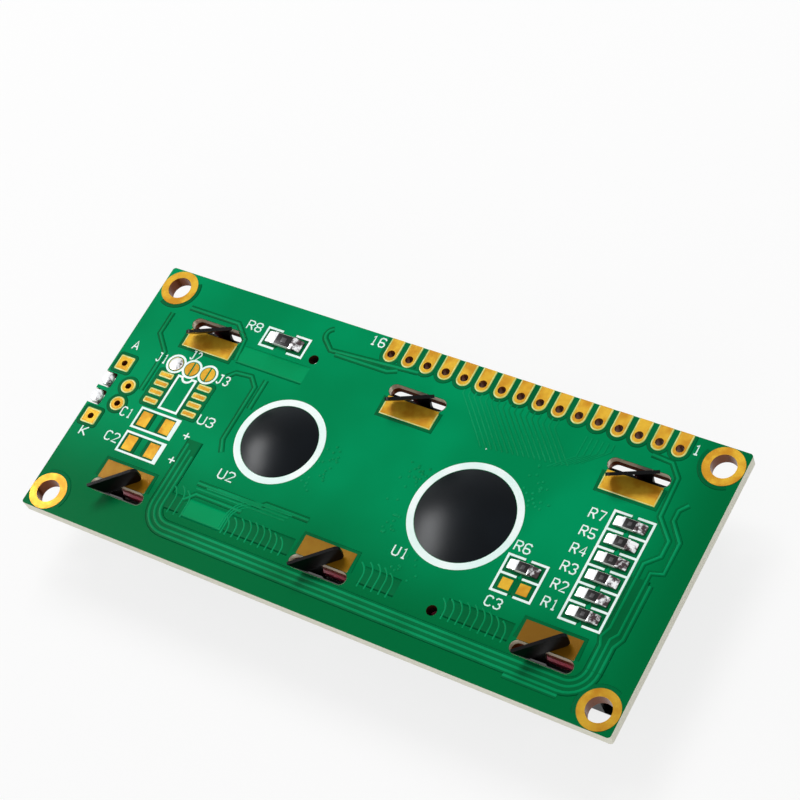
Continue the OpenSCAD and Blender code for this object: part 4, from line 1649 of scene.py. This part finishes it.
class Finishes:
    """Every material of the module, built once."""

    def __init__(self) -> None:
        """Build the materials."""
        self.mask = MaskFinish().build()
        green = {"specular": 0.02, "drift": 9 * MM, "grain": 0.5 * MM, "depth": 0.002 * MM}
        self.bare = PlainFinish("mask_on_laminate", srgb(0, 96, 52), srgb(0, 112, 64), 0.45, **green).build()
        self.track = PlainFinish("mask_on_track", srgb(0, 130, 76), srgb(8, 152, 96), 0.4, **green).build()
        self.pour = PlainFinish("mask_on_plane", srgb(0, 140, 82), srgb(0, 152, 92), 0.42, **green).build()
        self.gold = GoldFinish().build()
        self.rim = PlainFinish("mask_lap", srgb(178, 196, 96), srgb(222, 220, 132), 0.5, drift=1 * MM).build()
        self.ink = PlainFinish(
            "white_ink", srgb(222, 246, 240), srgb(244, 252, 250), 0.6, grain=0.08 * MM
        ).build()
        self.paint = PlainFinish(
            "black_paint", srgb(2, 2, 3), srgb(7, 7, 8), 0.3, specular=0.1, grain=0.3 * MM, depth=0.004 * MM
        ).build()
        self.resin = PlainFinish(
            "black_resin", srgb(0, 4, 9), srgb(6, 12, 18), 0.36, specular=0.1, drift=6 * MM, grain=1.2 * MM
        ).build()
        self.tin = PlainFinish(
            "bright_tin", srgb(216, 218, 220), srgb(240, 241, 242), 0.3, metallic=0.8, drift=0.6 * MM
        ).build()
        # Both solders carry painted shade: the first on its right-hand slopes, the second all over, for the
        # right-hand ends of the resistors.
        self.solder = SolderFinish().build()
        self.shade_all_over = SolderFinish("solder_shaded_all_over", spot=1.0 * MM, amount=0.95, shade_all_over=True).build()
        self.ceramic = PlainFinish("white_ceramic", srgb(214, 214, 210), srgb(232, 232, 228), 0.5).build()
        dark = {"specular": 0.2, "drift": 0.6 * MM}
        self.coat = PlainFinish("resistor_coat", srgb(14, 13, 14), srgb(28, 26, 27), 0.4, **dark).build()
        self.mark = PlainFinish("resistor_glaze", srgb(66, 64, 66), srgb(88, 86, 88), 0.4, **dark).build()
        self.strip = StripFinish().build()
        self.display = DisplayFinish().build()
        self.glass = ClearFinish("clear_glass", (0.93, 0.97, 0.95)).build()
        self.guide = ClearFinish("clear_acrylic", (0.96, 0.98, 0.98), 0.15, 1.49).build()
        self.seal = PlainFinish("epoxy_seal", srgb(196, 188, 160), srgb(214, 206, 180), 0.5).build()
        self.crystal = PlainFinish("crystal_film", srgb(24, 36, 110), srgb(30, 44, 124), 0.2).build()
        self.film = PlainFinish("white_film", srgb(232, 232, 228), srgb(244, 244, 240), 0.6).build()
        self.mirror = PlainFinish("mirror_film", srgb(214, 216, 220), srgb(232, 233, 236), 0.15, 1.0).build()
        self.plastic = PlainFinish("white_plastic", srgb(226, 226, 220), srgb(238, 238, 233), 0.45).build()
        self.lamp = PlainFinish("lamp_phosphor", srgb(226, 210, 90), srgb(238, 226, 130), 0.35).build()
        self.silicon = PlainFinish("silicon", srgb(70, 72, 84), srgb(92, 94, 108), 0.2, metallic=0.4).build()

    def by_slot(self) -> dict[Slot, Material]:
        """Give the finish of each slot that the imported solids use."""
        return {
            Slot.BOARD: self.mask,
            Slot.BLACK_STEEL: self.paint,
            Slot.POLARISER: self.display,
            Slot.GLASS: self.glass,
            Slot.SEAL: self.seal,
            Slot.CRYSTAL: self.crystal,
            Slot.STRIP: self.strip,
            Slot.FILM: self.film,
            Slot.REFLECTOR: self.mirror,
            Slot.GUIDE: self.guide,
            Slot.WHITE_PLASTIC: self.plastic,
            Slot.LAMP: self.lamp,
            Slot.TIN: self.tin,
            Slot.SOLDER: self.solder,
            Slot.SILICON: self.silicon,
            Slot.RESIN: self.resin,
            Slot.RESISTOR: self.coat,
            Slot.GOLD: self.gold,
            Slot.INK: self.ink,
        }


def dress_solids(finishes: Finishes) -> None:
    """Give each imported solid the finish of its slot.

    Args:
        finishes: The module's materials.
    """
    wanted = {part["node"]: part["material_slot"] for part in frame["record"]["subparts"]}
    by_slot = finishes.by_slot()
    for name, solid in frame["nodes"].items():
        finish = by_slot[Slot(wanted[name])]
        for place in solid.material_slots:
            place.material = finish
        if not solid.material_slots:
            solid.data.materials.append(finish)
        log.info("solid %s: %s", name, finish.name)


def main() -> None:
    """Build the studio, dress the solids and add the fine pieces."""
    logging.basicConfig(level=logging.INFO, format="%(name)s: %(message)s")
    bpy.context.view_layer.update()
    Studio().build()
    finishes = Finishes()
    dress_solids(finishes)
    Tracks(finishes.track, finishes.bare, finishes.pour).build()
    Vias(finishes.track).build()
    Lands(finishes.bare, finishes.rim).build()
    Lettering(finishes.ink).build()
    ends = (finishes.tin, finishes.solder, finishes.shade_all_over)
    ChipResistors(finishes.ceramic, finishes.coat, *ends, finishes.mark).build()
    NotchSolder(finishes.solder).build()
    Bench.clear()


if __name__ == "__main__":
    main()
